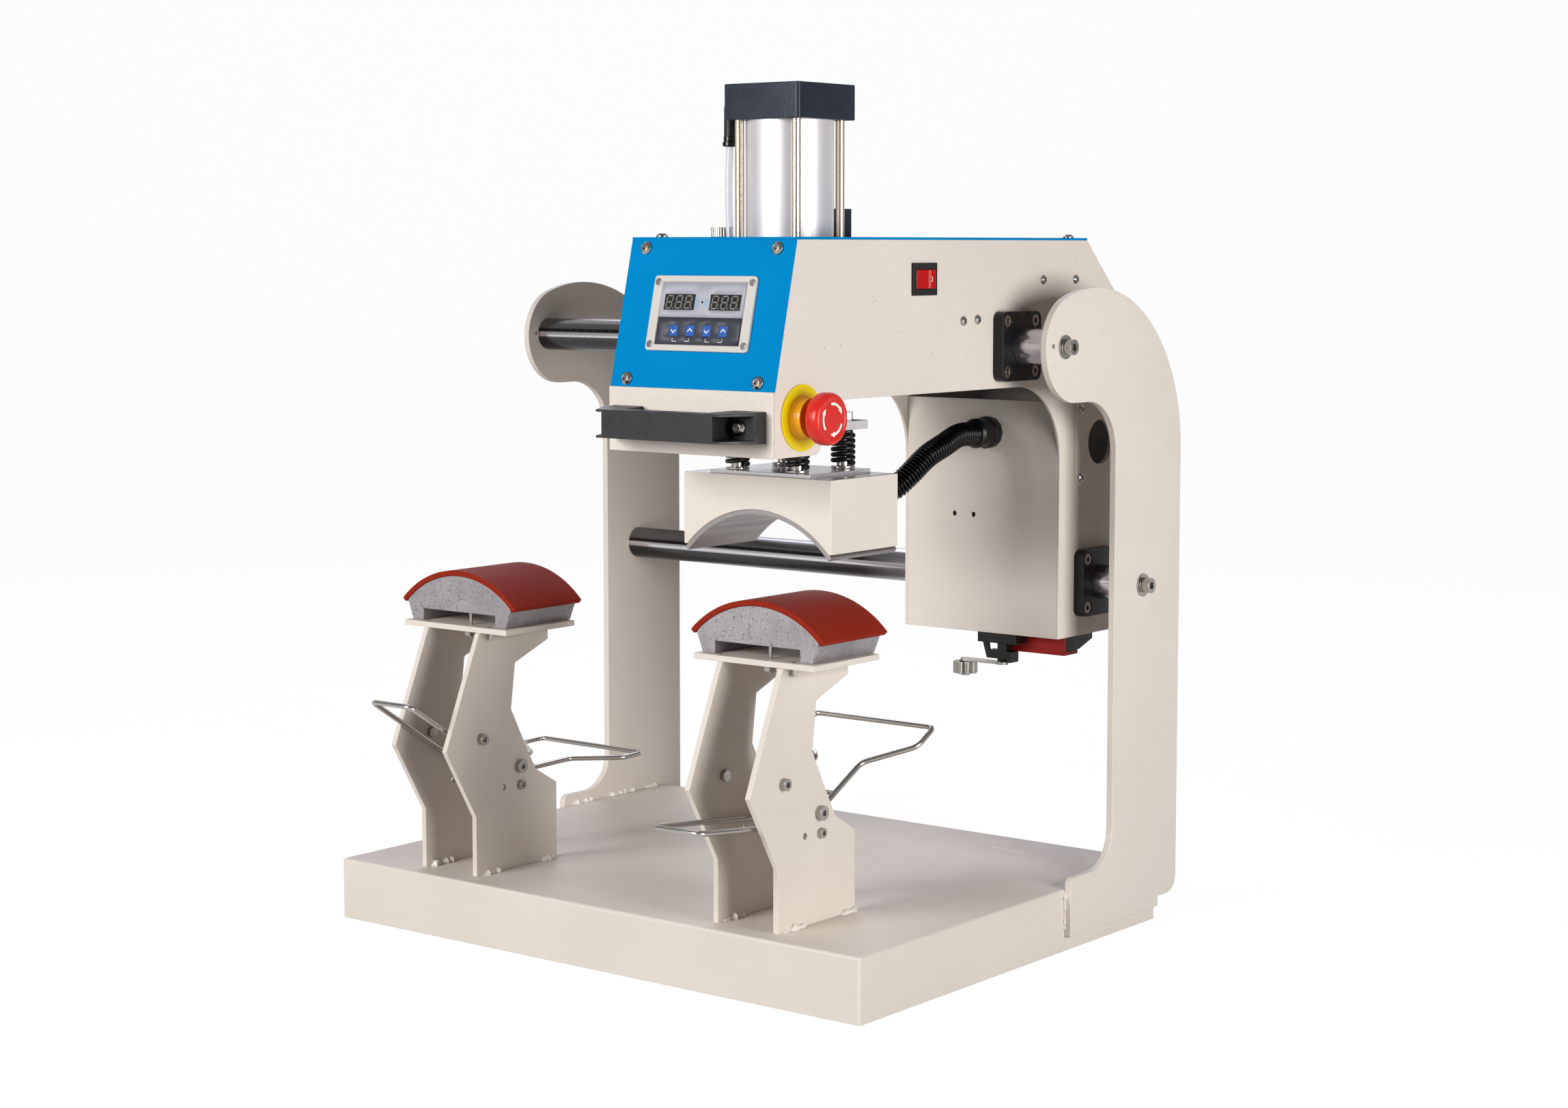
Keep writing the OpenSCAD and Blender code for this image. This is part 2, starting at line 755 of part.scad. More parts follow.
module cylinder_mount() {
  part_frame() color("#b4b2bc") difference() {
    translate([inner_x0, cyl_y - cyl_cap_w / 2 - 12, cyl_base_z - mount_t]) cube([inner_w, cyl_cap_w + 24, mount_t]);
    rod_z(carriage_x, cyl_y, cyl_base_z - mount_t - 1, cyl_base_z + 1, rod_d + 2);
  }
}

box_top_z = 460;
box_holes = [[-28.2, 358.2], [-8.1, 358.2]];
gland_place = [8.6, 431.4];

module rear_box() {
  part_frame() color("#ded6cb") {
    difference() {
      translate([inner_x0, box_front_y, box_low_z]) cube([inner_w, sheet_t, box_top_z - box_low_z]);
      for (hole = box_holes) translate([carriage_x + hole[0], box_front_y - 1, hole[1]])
        rotate([-90, 0, 0]) cylinder(d = 4.5, h = sheet_t + 2);
      translate([carriage_x + gland_place[0], box_front_y - 1, gland_place[1]])
        rotate([-90, 0, 0]) cylinder(d = gland_thread_d + 2 * fit, h = sheet_t + 2);
    }
    translate([inner_x0, box_front_y + sheet_t, box_low_z])
      cube([inner_w, slope_low[0] - sheet_t - box_front_y - sheet_t, sheet_t]);
  }
}

module rear_cover() {
  part_frame() color("#ded6cb") slab_x(inner_x0, inner_w) difference() {
    polygon([
      [slope_low[0] - sheet_t, box_low_z],
      [slope_low[0], box_low_z],
      slope_low,
      [cover_rear_y, wall_top_z],
      [cover_rear_y - sheet_t * 1.5, wall_top_z],
      [slope_low[0] - sheet_t, slope_low[1] - sheet_t]
    ]);
  }
}

// Square flange bearings

module bearing(side, place) {
  out_x = side > 0 ? wall_right_x : wall_left_x - flange_t;
  body_x = side > 0 ? wall_right_x - bearing_l + flange_t : wall_left_x;
  difference() {
    union() {
      translate([out_x, place[0], place[1]]) rotate([90, 0, 90]) linear_extrude(flange_t)
        rounded_square(flange_w, flange_w, 7);
      rod_x(body_x, body_x + bearing_l - flange_t, place[0], place[1], bearing_d - 2 * fit);
    }
    rod_x(out_x - bearing_l, out_x + bearing_l + flange_t, place[0], place[1], rail_d + 2 * fit);
    for (y = [-1, 1], z = [-1, 1]) {
      hole_y = place[0] + y * flange_screw_off;
      hole_z = place[1] + z * flange_screw_off;
      rod_x(out_x - 1, out_x + flange_t + 1, hole_y, hole_z, 6 + 2 * fit);
      rod_x(side > 0 ? out_x + flange_t - 6 : out_x - 1, side > 0 ? out_x + flange_t + 1 : out_x + 6,
        hole_y, hole_z, 10.5);
    }
  }
}

module bearings(place) {
  part_frame() color("#222222") for (side = [-1, 1]) bearing(side, place);
}

cover_size = [79, 74, 1.5];
cover_mid = [411.5, 423];
cover_screw_off = [32, 29.5];

module access_covers() {
  part_frame() color("#ded6cb") for (side = [-1, 1]) {
    x0 = side > 0 ? wall_right_x : wall_left_x - cover_size[2];
    difference() {
      slab_x(x0, cover_size[2]) translate(cover_mid) rounded_square(cover_size[0], cover_size[1], 6);
      rod_x(x0 - 1, x0 + cover_size[2] + 1, access_hole[0], access_hole[1], access_hole[2]);
      for (y = [-1, 1], z = [-1, 1])
        rod_x(x0 - 1, x0 + cover_size[2] + 1, cover_mid[0] + y * cover_screw_off[0],
          cover_mid[1] + z * cover_screw_off[1], 4 + 2 * fit);
    }
  }
}

// Cylinder

module cylinder_tube() {
  part_frame() color("#e4e2e8") difference() {
    rod_z(carriage_x, cyl_y, carriage_top_z, cyl_top_z, cyl_tube_d);
    rod_z(carriage_x, cyl_y, carriage_top_z - 1, cyl_top_z + 1, cyl_bore_d);
  }
}

module cylinder_caps() {
  part_frame() color("#333b49") {
    translate([carriage_x, cyl_y, cyl_top_z]) linear_extrude(cyl_cap_h) rounded_square(cyl_cap_w, cyl_cap_w, 3);
    difference() {
      translate([carriage_x, cyl_y, cyl_base_z]) linear_extrude(cyl_cap_h) rounded_square(cyl_cap_w, cyl_cap_w, 3);
      rod_z(carriage_x, cyl_y, cyl_base_z - 1, carriage_top_z + 1, rod_d + 2 * fit);
    }
  }
}

module tie_rods() {
  part_frame() color("#cfc4b0") for (x = [-1, 1], y = [-1, 1])
    rod_z(carriage_x + x * tie_rod_off, cyl_y + y * tie_rod_off, carriage_top_z, cyl_top_z, tie_rod_d);
}

air_x = carriage_x - 50.4;
air_y = cyl_y - 12.7;
air_tube_d = 6;
air_fitting_d = 10;
air_fitting_z = cyl_top_z + 10;
air_low_z = cyl_top_z - 12;

module air_elbow() {
  color("#222222") {
    rod_x(air_x, carriage_x - cyl_cap_w / 2, air_y, air_fitting_z, air_fitting_d);
    rod_z(air_x, air_y, air_low_z, air_fitting_z, air_fitting_d);
    translate([air_x, air_y, air_fitting_z]) sphere(d = air_fitting_d);
  }
}

module air_tube() {
  part_frame() color("#dfe4ea", 0.5) rod_z(air_x, air_y, wall_top_z - 20, air_low_z, air_tube_d);
}

valve_size = [24, 18, 23];

module valve_block() {
  part_frame() color("#3a4250") translate([carriage_x - 8, cyl_y + cyl_cap_w / 2 + 5, carriage_top_z])
    cube(valve_size);
}

knob_x = carriage_x - 71.5;
knob_y = cyl_y + 2.6;
knob_d = 18;
knob_h = 8;
knob_stem_d = 8;

module valve_knob() {
  part_frame() color("gainsboro") translate([knob_x, knob_y, 0]) difference() {
    union() {
      rod_z(0, 0, carriage_top_z + 0.3, carriage_top_z + 0.3 + knob_h, knob_d);
      rod_z(0, 0, wall_top_z - 10, carriage_top_z + 1, knob_stem_d);
    }
    for (i = [0 : 23]) rotate([0, 0, i * 15]) translate([knob_d / 2 + 0.3, 0, carriage_top_z])
      cylinder(d = 1.3, h = knob_h + 1, $fn = 16);
  }
}

// Controller

key_xs = [-24.6, -8.2, 8.2, 24.6];
key_y = -13.6;
window_size = [30.5, 12.4];
window_x = 22.6;
window_y = 8.8;
label_depth = 0.6;

module controller_bezel() {
  part_frame() color("#d8d2cc") on_panel(bezel_x, bezel_z) difference() {
    union() {
      linear_extrude(bezel_t) rounded_square(bezel_w, bezel_h, 3);
      translate([-bezel_body[0] / 2, -bezel_body[1] / 2, -bezel_body[2]]) cube(bezel_body);
    }
    translate([0, 0, bezel_t - label_depth]) linear_extrude(1) rounded_square(84, 49.7, 0.8);
    for (x = key_xs) translate([x, key_y, bezel_t - label_depth - 2]) linear_extrude(4)
      square(key_w + 2 * seat, center = true);
    for (side = [-1, 1]) translate([side * window_x, window_y, bezel_t - label_depth - 1])
      linear_extrude(4) square(window_size, center = true);
    for (x = [-1, 1], y = [-1, 1]) translate([x * 46.5, y * 24.5, bezel_t - 1]) cylinder(d = 5.4, h = 2);
  }
}

module display_windows() {
  part_frame() color("#2b2b2f") on_panel(bezel_x, bezel_z) for (side = [-1, 1])
    translate([side * window_x, window_y, bezel_t - label_depth - 1]) linear_extrude(1.1)
      square(window_size, center = true);
}

module key(i) {
  part_frame() color("#0f62b4") on_panel(bezel_x, bezel_z)
    translate([key_xs[i], key_y, bezel_t - label_depth - 2 + key_travel + 0.1]) linear_extrude(1.8 - key_travel + 0.3)
      square(key_w, center = true);
}

// Handle on the nose

handle_screw_x = 60.5;
handle_foot_x = 46;
handle_lip_x = 60.3;
handle_web_x = 55;
handle_web_t = 13;
pocket_floor = 14;
handle_lip_t = 3;
handle_taper = 1.1;

module handle() {
  half = handle_l / 2;
  slope = handle_taper / handle_reach;
  part_frame() color("#222222") translate([carriage_x, nose_front_y, handle_z - handle_h / 2]) difference() {
    intersection() {
      linear_extrude(handle_h) polygon([
        [-half, 0], [-half, -14], [-handle_lip_x, -handle_reach], [handle_lip_x, -handle_reach],
        [half, -14], [half, 0], [handle_foot_x, 0], [handle_foot_x - 6, -handle_reach + handle_web_t],
        [-handle_foot_x + 6, -handle_reach + handle_web_t], [-handle_foot_x, 0]
      ]);
      slab_x(-half - 1, handle_l + 2) polygon([
        [1, -slope], [1, handle_h + slope],
        [-handle_reach - 1, handle_h - handle_taper - slope], [-handle_reach - 1, handle_taper + slope]
      ]);
    }
    for (side = [-1, 1]) {
      translate([0, 0, handle_lip_t]) linear_extrude(handle_h - 2 * handle_lip_t) polygon([
        [side * handle_web_x, -handle_reach - 1],
        [side * (half + 1), -handle_reach - 1],
        [side * (half + 1), -pocket_floor],
        [side * (handle_foot_x + 3.5), -pocket_floor]
      ]);
      translate([side * handle_screw_x, 1, handle_h / 2]) rotate([90, 0, 0])
        cylinder(d = 6 + 2 * fit, h = pocket_floor + 2);
    }
  }
}

// Screws of the carriage

side_screws = [[200.5, 532.5], [221, 533.2], [319.9, carriage_top_z - 35.3], [370.9, carriage_top_z - 35.4]];
top_screws = [[-65, -4], [65, 384]];

module carriage_screws() {
  part_frame() color("gainsboro") {
    for (side = [-1, 1], z = panel_screw_zs) on_panel(carriage_x + side * panel_screw_x, z)
      button_screw(6, 10.5, blue_t + 4);
    for (x = [-1, 1], y = [-1, 1]) on_panel(bezel_x, bezel_z) translate([x * 46.5, y * 24.5, bezel_t - 1])
      cylinder(d = 5.2, h = 1.4);
    for (place = side_screws) translate([wall_right_x, place[0], place[1]]) rotate([0, 90, 0])
      button_screw(4, 8, 0);
    for (place = top_screws) translate([carriage_x + place[0], place[1], carriage_top_z])
      button_screw(5, 9.5, 0);
    for (side = [-1, 1]) translate([carriage_x + side * handle_screw_x, nose_front_y - pocket_floor, handle_z])
      rotate([90, 0, 0]) button_screw(6, 12, pocket_floor + sheet_t + 4);
    for (side = [-1, 1], y = [-1, 1], z = [-1, 1]) {
      x = side > 0 ? wall_right_x + cover_size[2] : wall_left_x - cover_size[2];
      translate([x, cover_mid[0] + y * cover_screw_off[0], cover_mid[1] + z * cover_screw_off[1]])
        rotate([0, side * 90, 0]) button_screw(4, 8, cover_size[2]);
    }
    for (place = rails, side = [-1, 1], y = [-1, 1], z = [-1, 1]) {
      x = side > 0 ? wall_right_x + flange_t - 6 : wall_left_x - flange_t + 6;
      translate([x, place[0] + y * flange_screw_off, place[1] + z * flange_screw_off])
        rotate([0, side * 90, 0]) socket_screw(6, 10, 5.5, flange_t - 6);
    }
  }
}

// Emergency stop

stop_ring_t = 1;
collar_d = 30;
collar_h = 9;
stop_thread_d = 22;
stem_d = 14;
button_h = 13;

module stop_base() {
  part_frame() translate([wall_right_x, stop_place[0], stop_place[1]]) rotate([0, 90, 0]) {
    color("#f0d800") difference() {
      cylinder(d = stop_ring_d, h = stop_ring_t);
      translate([0, 0, -1]) cylinder(d = stop_thread_d, h = 3);
    }
    color("#fdb813") difference() {
      union() {
        translate([0, 0, stop_ring_t]) cylinder(d = collar_d, h = collar_h);
        translate([0, 0, -30]) cylinder(d = stop_thread_d, h = 31);
      }
      translate([0, 0, -12]) cylinder(d = stem_d + 2 * fit, h = 60);
    }
  }
}

module stop_stem() {
  part_frame() color("#555555") translate([wall_right_x, stop_place[0], stop_place[1]]) rotate([0, 90, 0]) {
    translate([0, 0, -12 + stop_travel + 1]) cylinder(d = stem_d, h = stop_h - button_h + 12 - stop_travel - 1);
    translate([0, 0, stop_h - button_h]) cylinder(d = 6, h = button_h - 3);
  }
}

module stop_button() {
  part_frame() color("#e03a2e") translate([wall_right_x, stop_place[0], stop_place[1]]) rotate([0, 90, 0])
    difference() {
      translate([0, 0, stop_h - button_h]) rotate_extrude() polygon([
        [0, 0.2], [stem_d / 2 + 2, 0.2], [stop_d / 2 - 2, 1.5], [stop_d / 2, 4],
        [stop_d / 2, button_h - 2.5], [stop_d / 2 - 2.5, button_h], [0, button_h]
      ]);
      translate([0, 0, stop_h - button_h - 1]) cylinder(d = 6 + 2 * fit, h = button_h - 1.8);
    }
}

// Power switch

rocker_body_l = 28;
rocker_body_h = 21;
rocker_bezel_t = 2;
rocker_half = 11;

module rocker_bezel() {
  part_frame() color("#1c1c1c") translate([wall_right_x, rocker_place[0], rocker_place[1]]) rotate([90, 0, 90])
    difference() {
      union() {
        linear_extrude(rocker_bezel_t) square([rocker_bezel_l, rocker_bezel_h], center = true);
        translate([0, 0, -18]) linear_extrude(19) square([rocker_body_l, rocker_body_h], center = true);
      }
      translate([0, 0, -8]) linear_extrude(20) square([2 * rocker_half + 2, 15.5], center = true);
    }
}

module power_rocker() {
  part_frame() color("#c41a12") translate([wall_right_x, rocker_place[0], rocker_place[1] - 7.5])
    linear_extrude(15) polygon([
      [-3, -rocker_half + 0.6], [1.2, -rocker_half + 0.4], [3, 0], [4.8, rocker_half - 0.4], [-3, rocker_half - 0.6]
    ]);
}

// Switch and block under the rear box

switch_x = carriage_x + 15.3;
switch_y = 361;
roller_x = carriage_x - 24.1;
lever_top_z = 228.5;
switch_plate_z = box_low_z - 9.3;
roller_d = 22;

module limit_switch() {
  part_frame() color("#222222") {
    translate([switch_x - 20.5, switch_y - 9, switch_plate_z]) cube([40.5, 18, box_low_z - switch_plate_z]);
    translate([0, switch_y - 2, 0]) rotate([90, 0, 0]) linear_extrude(4) polygon([
      [switch_x - 17.4, switch_plate_z + 1], [switch_x - 12.1, switch_plate_z + 1],
      [switch_x - 10, lever_top_z + 4], [switch_x - 13.2, lever_top_z + 4]
    ]);
    difference() {
      union() {
        translate([switch_x - 13, switch_y - 6, lever_top_z + 3]) cube([26, 12, 7]);
        translate([switch_x - 1.6, switch_y - 6, lever_top_z + 9]) cube([8.9, 12, switch_plate_z - lever_top_z - 8]);
        translate([switch_x + 8, switch_y - 6, lever_top_z + 0.3]) cube([5, 12, 4]);
        rod_z(switch_x, switch_y, lever_top_z + 0.3, lever_top_z + 4, 9);
      }
      rod_z(switch_x, switch_y, lever_top_z - 1, lever_top_z + 9, 5 + 2 * fit);
    }
    slab_x(carriage_x + 22, 50.5) polygon([
      [block_y + 3 + fit, box_low_z], [block_y + 46, box_low_z], [block_y + 46, box_low_z - 7],
      [block_y + 24, box_low_z - block_h + 3.5 + fit], [block_y + 3 + fit, box_low_z - block_h + 3.5 + fit]
    ]);
  }
}

module switch_lever() {
  part_frame() color("silver") difference() {
    union() {
      rod_z(switch_x, switch_y, lever_top_z - 2.5, lever_top_z + 8, 5);
      rod_z(switch_x, switch_y, lever_top_z - 2.5, lever_top_z, 11);
      rod_z(roller_x, switch_y, lever_top_z - 2.5, lever_top_z, 9);
      translate([roller_x, switch_y - 4, lever_top_z - 2.5]) cube([switch_x - roller_x, 8, 2.5]);
      rod_z(roller_x, switch_y, lever_top_z - 14, lever_top_z - 1, 5);
      rod_z(roller_x, switch_y, lever_top_z - 15.5, lever_top_z - 13.9, 8);
    }
  }
}

module switch_roller() {
  part_frame() color("silver") translate([roller_x, switch_y, lever_top_z - 13.5]) difference() {
    union() {
      cylinder(d = roller_d - 5, h = 10.6);
      for (i = [0 : 7]) rotate([0, 0, i * 45]) translate([roller_d / 2 - 3, 0, 0]) cylinder(d = 6, h = 10.6, $fn = 24);
    }
    translate([0, 0, -1]) cylinder(d = 5 + 2 * fit, h = 13);
  }
}

block_y = 372;
block_h = 18;

module parking_block() {
  part_frame() color("#a01810") {
    translate([0, block_y + 3, box_low_z]) rotate([90, 0, 0]) linear_extrude(3) polygon([
      [carriage_x + 21, 0], [carriage_x + 72.5, 0], [carriage_x + 72.5, -block_h], [carriage_x + 13, -block_h]
    ]);
    translate([carriage_x + 13, block_y + 2, box_low_z - block_h]) cube([59.5, 20, 3.5]);
  }
}

// Conduit and its glands

gland_thread_d = 16;
gland_d = 25.7;
gland_l = 26;
heater_gland_l = 20;
conduit_x = carriage_x + gland_place[0];
conduit_front = box_front_y - gland_l;
conduit_end_y = heater_y + heater_d / 2 + heater_gland_l;
conduit_end = [carriage_x - 54, conduit_end_y, heater_low_z + 33];

// Gland with its seat at the origin, its nose along Z and its thread behind the seat
module gland(length, thread) {
  color("#1c1c1c") difference() {
    union() {
      cylinder(d = gland_d + 2.5, h = 8, $fn = 12);
      translate([0, 0, 8]) cylinder(d = gland_d, h = length - 11);
      translate([0, 0, length - 3]) cylinder(d1 = gland_d, d2 = gland_d - 4, h = 3);
      translate([0, 0, -thread]) cylinder(d = gland_thread_d, h = thread + 1);
    }
    translate([0, 0, -thread - 1]) cylinder(d = gland_thread_d - 4, h = length + thread + 2);
  }
}

// Push-in elbow on the cylinder's cap, and the conduit's gland on the rear box
module hose_fittings() {
  part_frame() {
    air_elbow();
    translate([conduit_x, box_front_y, gland_place[1]]) rotate([90, 0, 0]) gland(gland_l, 10);
  }
}

module heater_gland() {
  part_frame() translate([conduit_end[0], heater_y + heater_d / 2, conduit_end[2]]) rotate([-90, 0, 0])
    gland(heater_gland_l, 6);
}

// Route of the conduit, chosen by hand, from the gland to the heater
route = [
  [conduit_x, conduit_front - seat, gland_place[1]],
  [conduit_x, 300, gland_place[1] - 0.6],
  [166, 279, 423.5],
  [163, 259, 415],
  [157, 241, 400],
  [150, 228, 389],
  [139, 211, 384],
  [123, 190, 384],
  [conduit_end[0], conduit_end[1] + 22, conduit_end[2]],
  [conduit_end[0], conduit_end[1] + seat, conduit_end[2]]
];

// A smooth curve through the route's points
function spline(a, b, c, d, t) = 0.5 * (
  2 * b + (c - a) * t + (2 * a - 5 * b + 4 * c - d) * t * t + (3 * b - a - 3 * c + d) * t * t * t
);
function route_point(s) =
  let (
    last = len(route) - 2,
    i = min(last, floor(s)),
    before = i > 0 ? route[i - 1] : 2 * route[0] - route[1],
    after = i < last ? route[i + 2] : 2 * route[last + 1] - route[last]
  ) spline(before, route[i], route[i + 1], after, s - i);
function route_length(steps) = let (last = len(route) - 1) [
  for (i = 0, total = 0; i <= steps; total = total + norm(route_point(last * min(i + 1, steps) / steps)
    - route_point(last * i / steps)), i = i + 1) total
];

route_steps = 200;
route_sums = route_length(route_steps);
conduit_length = route_sums[route_steps];
rib_count = floor((conduit_length - 4) / rib_pitch);

// Point at a distance along the route
function along(distance) =
  let (
    i = max([for (k = [0 : route_steps - 1]) if (route_sums[k] <= distance) k]),
    part = (distance - route_sums[i]) / (route_sums[i + 1] - route_sums[i]),
    last = len(route) - 1
  ) route_point(last * (i + min(1, part)) / route_steps);

// Ring of points about the route at a distance along it
function route_ring(distance, r, sides) =
  let (
    clipped = max(0.01, min(conduit_length - 0.01, distance)),
    before = along(max(0, clipped - 1)),
    after = along(min(conduit_length - 0.001, clipped + 1)),
    ends = distance <= 0.01 || distance >= conduit_length - 0.01,
    ahead = ends ? [0, -1, 0] : (after - before) / norm(after - before),
    across = cross(ahead, [1, 0, 0]) / norm(cross(ahead, [1, 0, 0])),
    over = cross(ahead, across),
    middle = along(clipped)
  ) [for (k = [0 : sides - 1]) middle + r * (cos(k * 360 / sides) * across + sin(k * 360 / sides) * over)];

conduit_sides = 8;
rib_dip = 1.3;
conduit_rings = concat(
  [route_ring(0, conduit_d / 2 - rib_dip, conduit_sides)],
  [for (i = [0 : rib_count - 1]) each [
    route_ring(2 + (i + 0.3) * rib_pitch, conduit_d / 2, conduit_sides),
    route_ring(2 + (i + 0.9) * rib_pitch, conduit_d / 2 - rib_dip, conduit_sides)
  ]],
  [route_ring(conduit_length, conduit_d / 2 - rib_dip, conduit_sides)],
  [for (i = [24 : -1 : 0]) route_ring(i * conduit_length / 24, conduit_bore_d / 2, conduit_sides)]
);

// Closed skin over rings of equal sides that come back to the first ring
function ring_skin(count, sides) = [
  for (i = [0 : count - 1], k = [0 : sides - 1]) let (
    next = (i + 1) % count,
    a = i * sides + k,
    b = i * sides + (k + 1) % sides,
    c = next * sides + (k + 1) % sides,
    d = next * sides + k
  ) each [[a, b, c], [a, c, d]]
];

module conduit() {
  part_frame() color("#161616") polyhedron(
    points = [for (ring = conduit_rings) each ring],
    faces = ring_skin(len(conduit_rings), conduit_sides)
  );
}

// Press

rod_low_z = carrier_low_z + carrier_t;

module piston_rod() {
  part_frame() color("silver") {
    rod_z(carriage_x, cyl_y, rod_low_z, cyl_top_z - 2, rod_d);
    rod_z(carriage_x, cyl_y, cyl_top_z - 2 - piston_h, cyl_top_z - 2, cyl_bore_d - 2 * fit);
    rod_z(carriage_x, cyl_y, rod_low_z, rod_low_z + 8, 32);
  }
}

pin_places = [for (x = [-1, 1], y = [-1, 1]) [carriage_x + x * pin_pitch / 2, heater_y + y * pin_pitch / 2]];

module carrier_plate() {
  part_frame() color("#b4b2bc") difference() {
    translate([carriage_x - carrier_w / 2, heater_y - carrier_d / 2, carrier_low_z]) cube([carrier_w, carrier_d, carrier_t]);
    for (place = pin_places) rod_z(place[0], place[1], carrier_low_z - 1, rod_low_z + 1, pin_d + 2 * fit);
  }
}

// Heater

heater_front_y = heater_y - heater_d / 2;
plate_t = 4;
raised_t = 3;

module heater_housing() {
  part_frame() color("#ded6cb") difference() {
    translate([carriage_x - heater_w / 2, heater_front_y, heater_low_z])
      cube([heater_w, heater_d, heater_top_z - heater_low_z]);
    translate([carriage_x - heater_w / 2 + housing_t, heater_front_y + housing_t, heater_low_z - 1])
      cube([heater_w - 2 * housing_t, heater_d - 2 * housing_t, heater_top_z - heater_low_z + 2]);
    translate([carriage_x, 0, element_centre_z]) slab_y(heater_front_y - 1, heater_d + 2)
      circle(element_r + element_t, $fn = 192);
    translate(conduit_end) rotate([90, 0, 0])
      cylinder(d = gland_thread_d + 2 * fit, h = heater_gland_l + housing_t + 1);
  }
}

module heater_plate() {
  gap = housing_t;
  part_frame() color("#b4b2bc") difference() {
    union() {
      translate([carriage_x - heater_w / 2 + gap, heater_front_y + gap, heater_top_z - plate_t])
        cube([heater_w - 2 * gap, heater_d - 2 * gap, plate_t]);
      translate([carriage_x - 50, heater_y - 40, heater_top_z]) cube([100, 80, raised_t]);
    }
    for (place = pin_places) rod_z(place[0], place[1], heater_top_z - plate_t - 1, heater_top_z + raised_t + 1,
      pin_d + 2 * fit);
  }
}

element_half_angle = asin((heater_w / 2 - 0.6) / (element_r + element_t));

module heating_element() {
  part_frame() color("#a8a6ae") translate([carriage_x, 0, element_centre_z])
    slab_y(heater_front_y + 1, heater_d - 1) ring_sector(element_r + element_t, element_r, element_half_angle);
}

spring_seat_z = heater_top_z + 5;
washer_d = 19;

module guide_pins() {
  part_frame() color("gainsboro") for (place = pin_places) {
    rod_z(place[0], place[1], heater_top_z - plate_t, rod_low_z + seat, pin_d);
    rod_z(place[0], place[1], spring_seat_z - 1.5, spring_seat_z, washer_d);
    translate([place[0], place[1], rod_low_z + seat]) cylinder(d = 17, h = 6, $fn = 6);
  }
}

// Springs between the guide pins' washers and the carrier

spring_sides = 6;
spring_rings = 8;
spring_dead = 0.75;
spring_low_z = spring_seat_z + spring_wire_d / 2 + 0.05;
spring_high_z = carrier_low_z - spring_wire_d / 2 - 0.05;
spring_coil_r = (spring_d - spring_wire_d) / 2;
dead_rise = spring_wire_d + 0.5;

// Height of the spring's wire after some turns, with closed end turns
function spring_z(turn) =
  let (
    open_rise = spring_high_z - spring_low_z - 2 * dead_rise * spring_dead,
    total = spring_turns + 2 * spring_dead
  )
  turn < spring_dead ? spring_low_z + dead_rise * turn
  : turn > total - spring_dead ? spring_high_z - dead_rise * (total - turn)
  : spring_low_z + dead_rise * spring_dead + open_rise * (turn - spring_dead) / spring_turns;

spring_total = spring_turns + 2 * spring_dead;
spring_steps = ceil(spring_total * spring_rings);
spring_path = [for (i = [0 : spring_steps]) let (turn = spring_total * i / spring_steps)
  [spring_coil_r * cos(360 * turn), spring_coil_r * sin(360 * turn), spring_z(turn)]];

function spring_ring(i) =
  let (
    angle = 360 * spring_total * i / spring_steps,
    out = [cos(angle), sin(angle), 0]
  ) [for (k = [0 : spring_sides - 1])
    spring_path[i] + spring_wire_d / 2 * (cos(k * 60) * out + sin(k * 60) * [0, 0, 1])];

function tube_skin(count, sides) = concat(
  [for (i = [0 : count - 2], k = [0 : sides - 1]) let (
    a = i * sides + k,
    b = i * sides + (k + 1) % sides,
    c = (i + 1) * sides + (k + 1) % sides,
    d = (i + 1) * sides + k
  ) each [[a, b, c], [a, c, d]]],
  [for (k = [1 : sides - 2]) [0, k + 1, k]],
  [for (k = [1 : sides - 2]) let (base = (count - 1) * sides) [base, base + k, base + k + 1]]
);

spring_gap = min([for (i = [0 : spring_steps - spring_rings]) let (j = i + round(spring_steps / spring_total))
  if (j <= spring_steps) norm(spring_path[j] - spring_path[i]) - spring_wire_d]);
echo(least_gap_of_a_spring_to_itself = spring_gap);

echo(conduit_length = conduit_length, ribs = rib_count);

module heater_springs() {
  part_frame() color("#1c1c1c") for (place = pin_places) translate([place[0], place[1], 0])
    polyhedron(
      points = [for (i = [0 : spring_steps]) each spring_ring(i)],
      faces = tube_skin(spring_steps + 1, spring_sides)
    );
}

part_frame() base_pan();
frame_plate(-frame_x - frame_t);  // left_frame_plate
frame_plate(frame_x);  // right_frame_plate
rail(rails[0]);  // upper_rail
rail(rails[1]);  // lower_rail
rail_screws();
station_plates(left_station_x);  // left_station_plates
station_plates(right_station_x);  // right_station_plates
station_tables();
station_platens();
station_pads();
table_screws();
station_screws();
lever_pivots();
cap_lever(left_station_x, 0);  // left_cap_lever
cap_lever(right_station_x, right_lever_angle);  // right_cap_lever
wall(wall_left_x, false);  // left_wall
wall(wall_right_x - sheet_t, true);  // right_wall
nose_shell();
front_panel();
top_cover();
cylinder_mount();
rear_box();
rear_cover();
bearings(rails[0]);  // upper_bearings
bearings(rails[1]);  // lower_bearings
access_covers();
cylinder_tube();
cylinder_caps();
tie_rods();
hose_fittings();
air_tube();
valve_block();
valve_knob();
controller_bezel();
display_windows();
handle();
carriage_screws();
stop_base();
stop_stem();
stop_button();
rocker_bezel();
power_rocker();
key(0);  // key_1
key(1);  // key_2
key(2);  // key_3
key(3);  // key_4
limit_switch();
switch_lever();
switch_roller();
parking_block();
conduit();
heater_gland();
piston_rod();
carrier_plate();
heater_housing();
heater_plate();
heating_element();
guide_pins();
heater_springs();
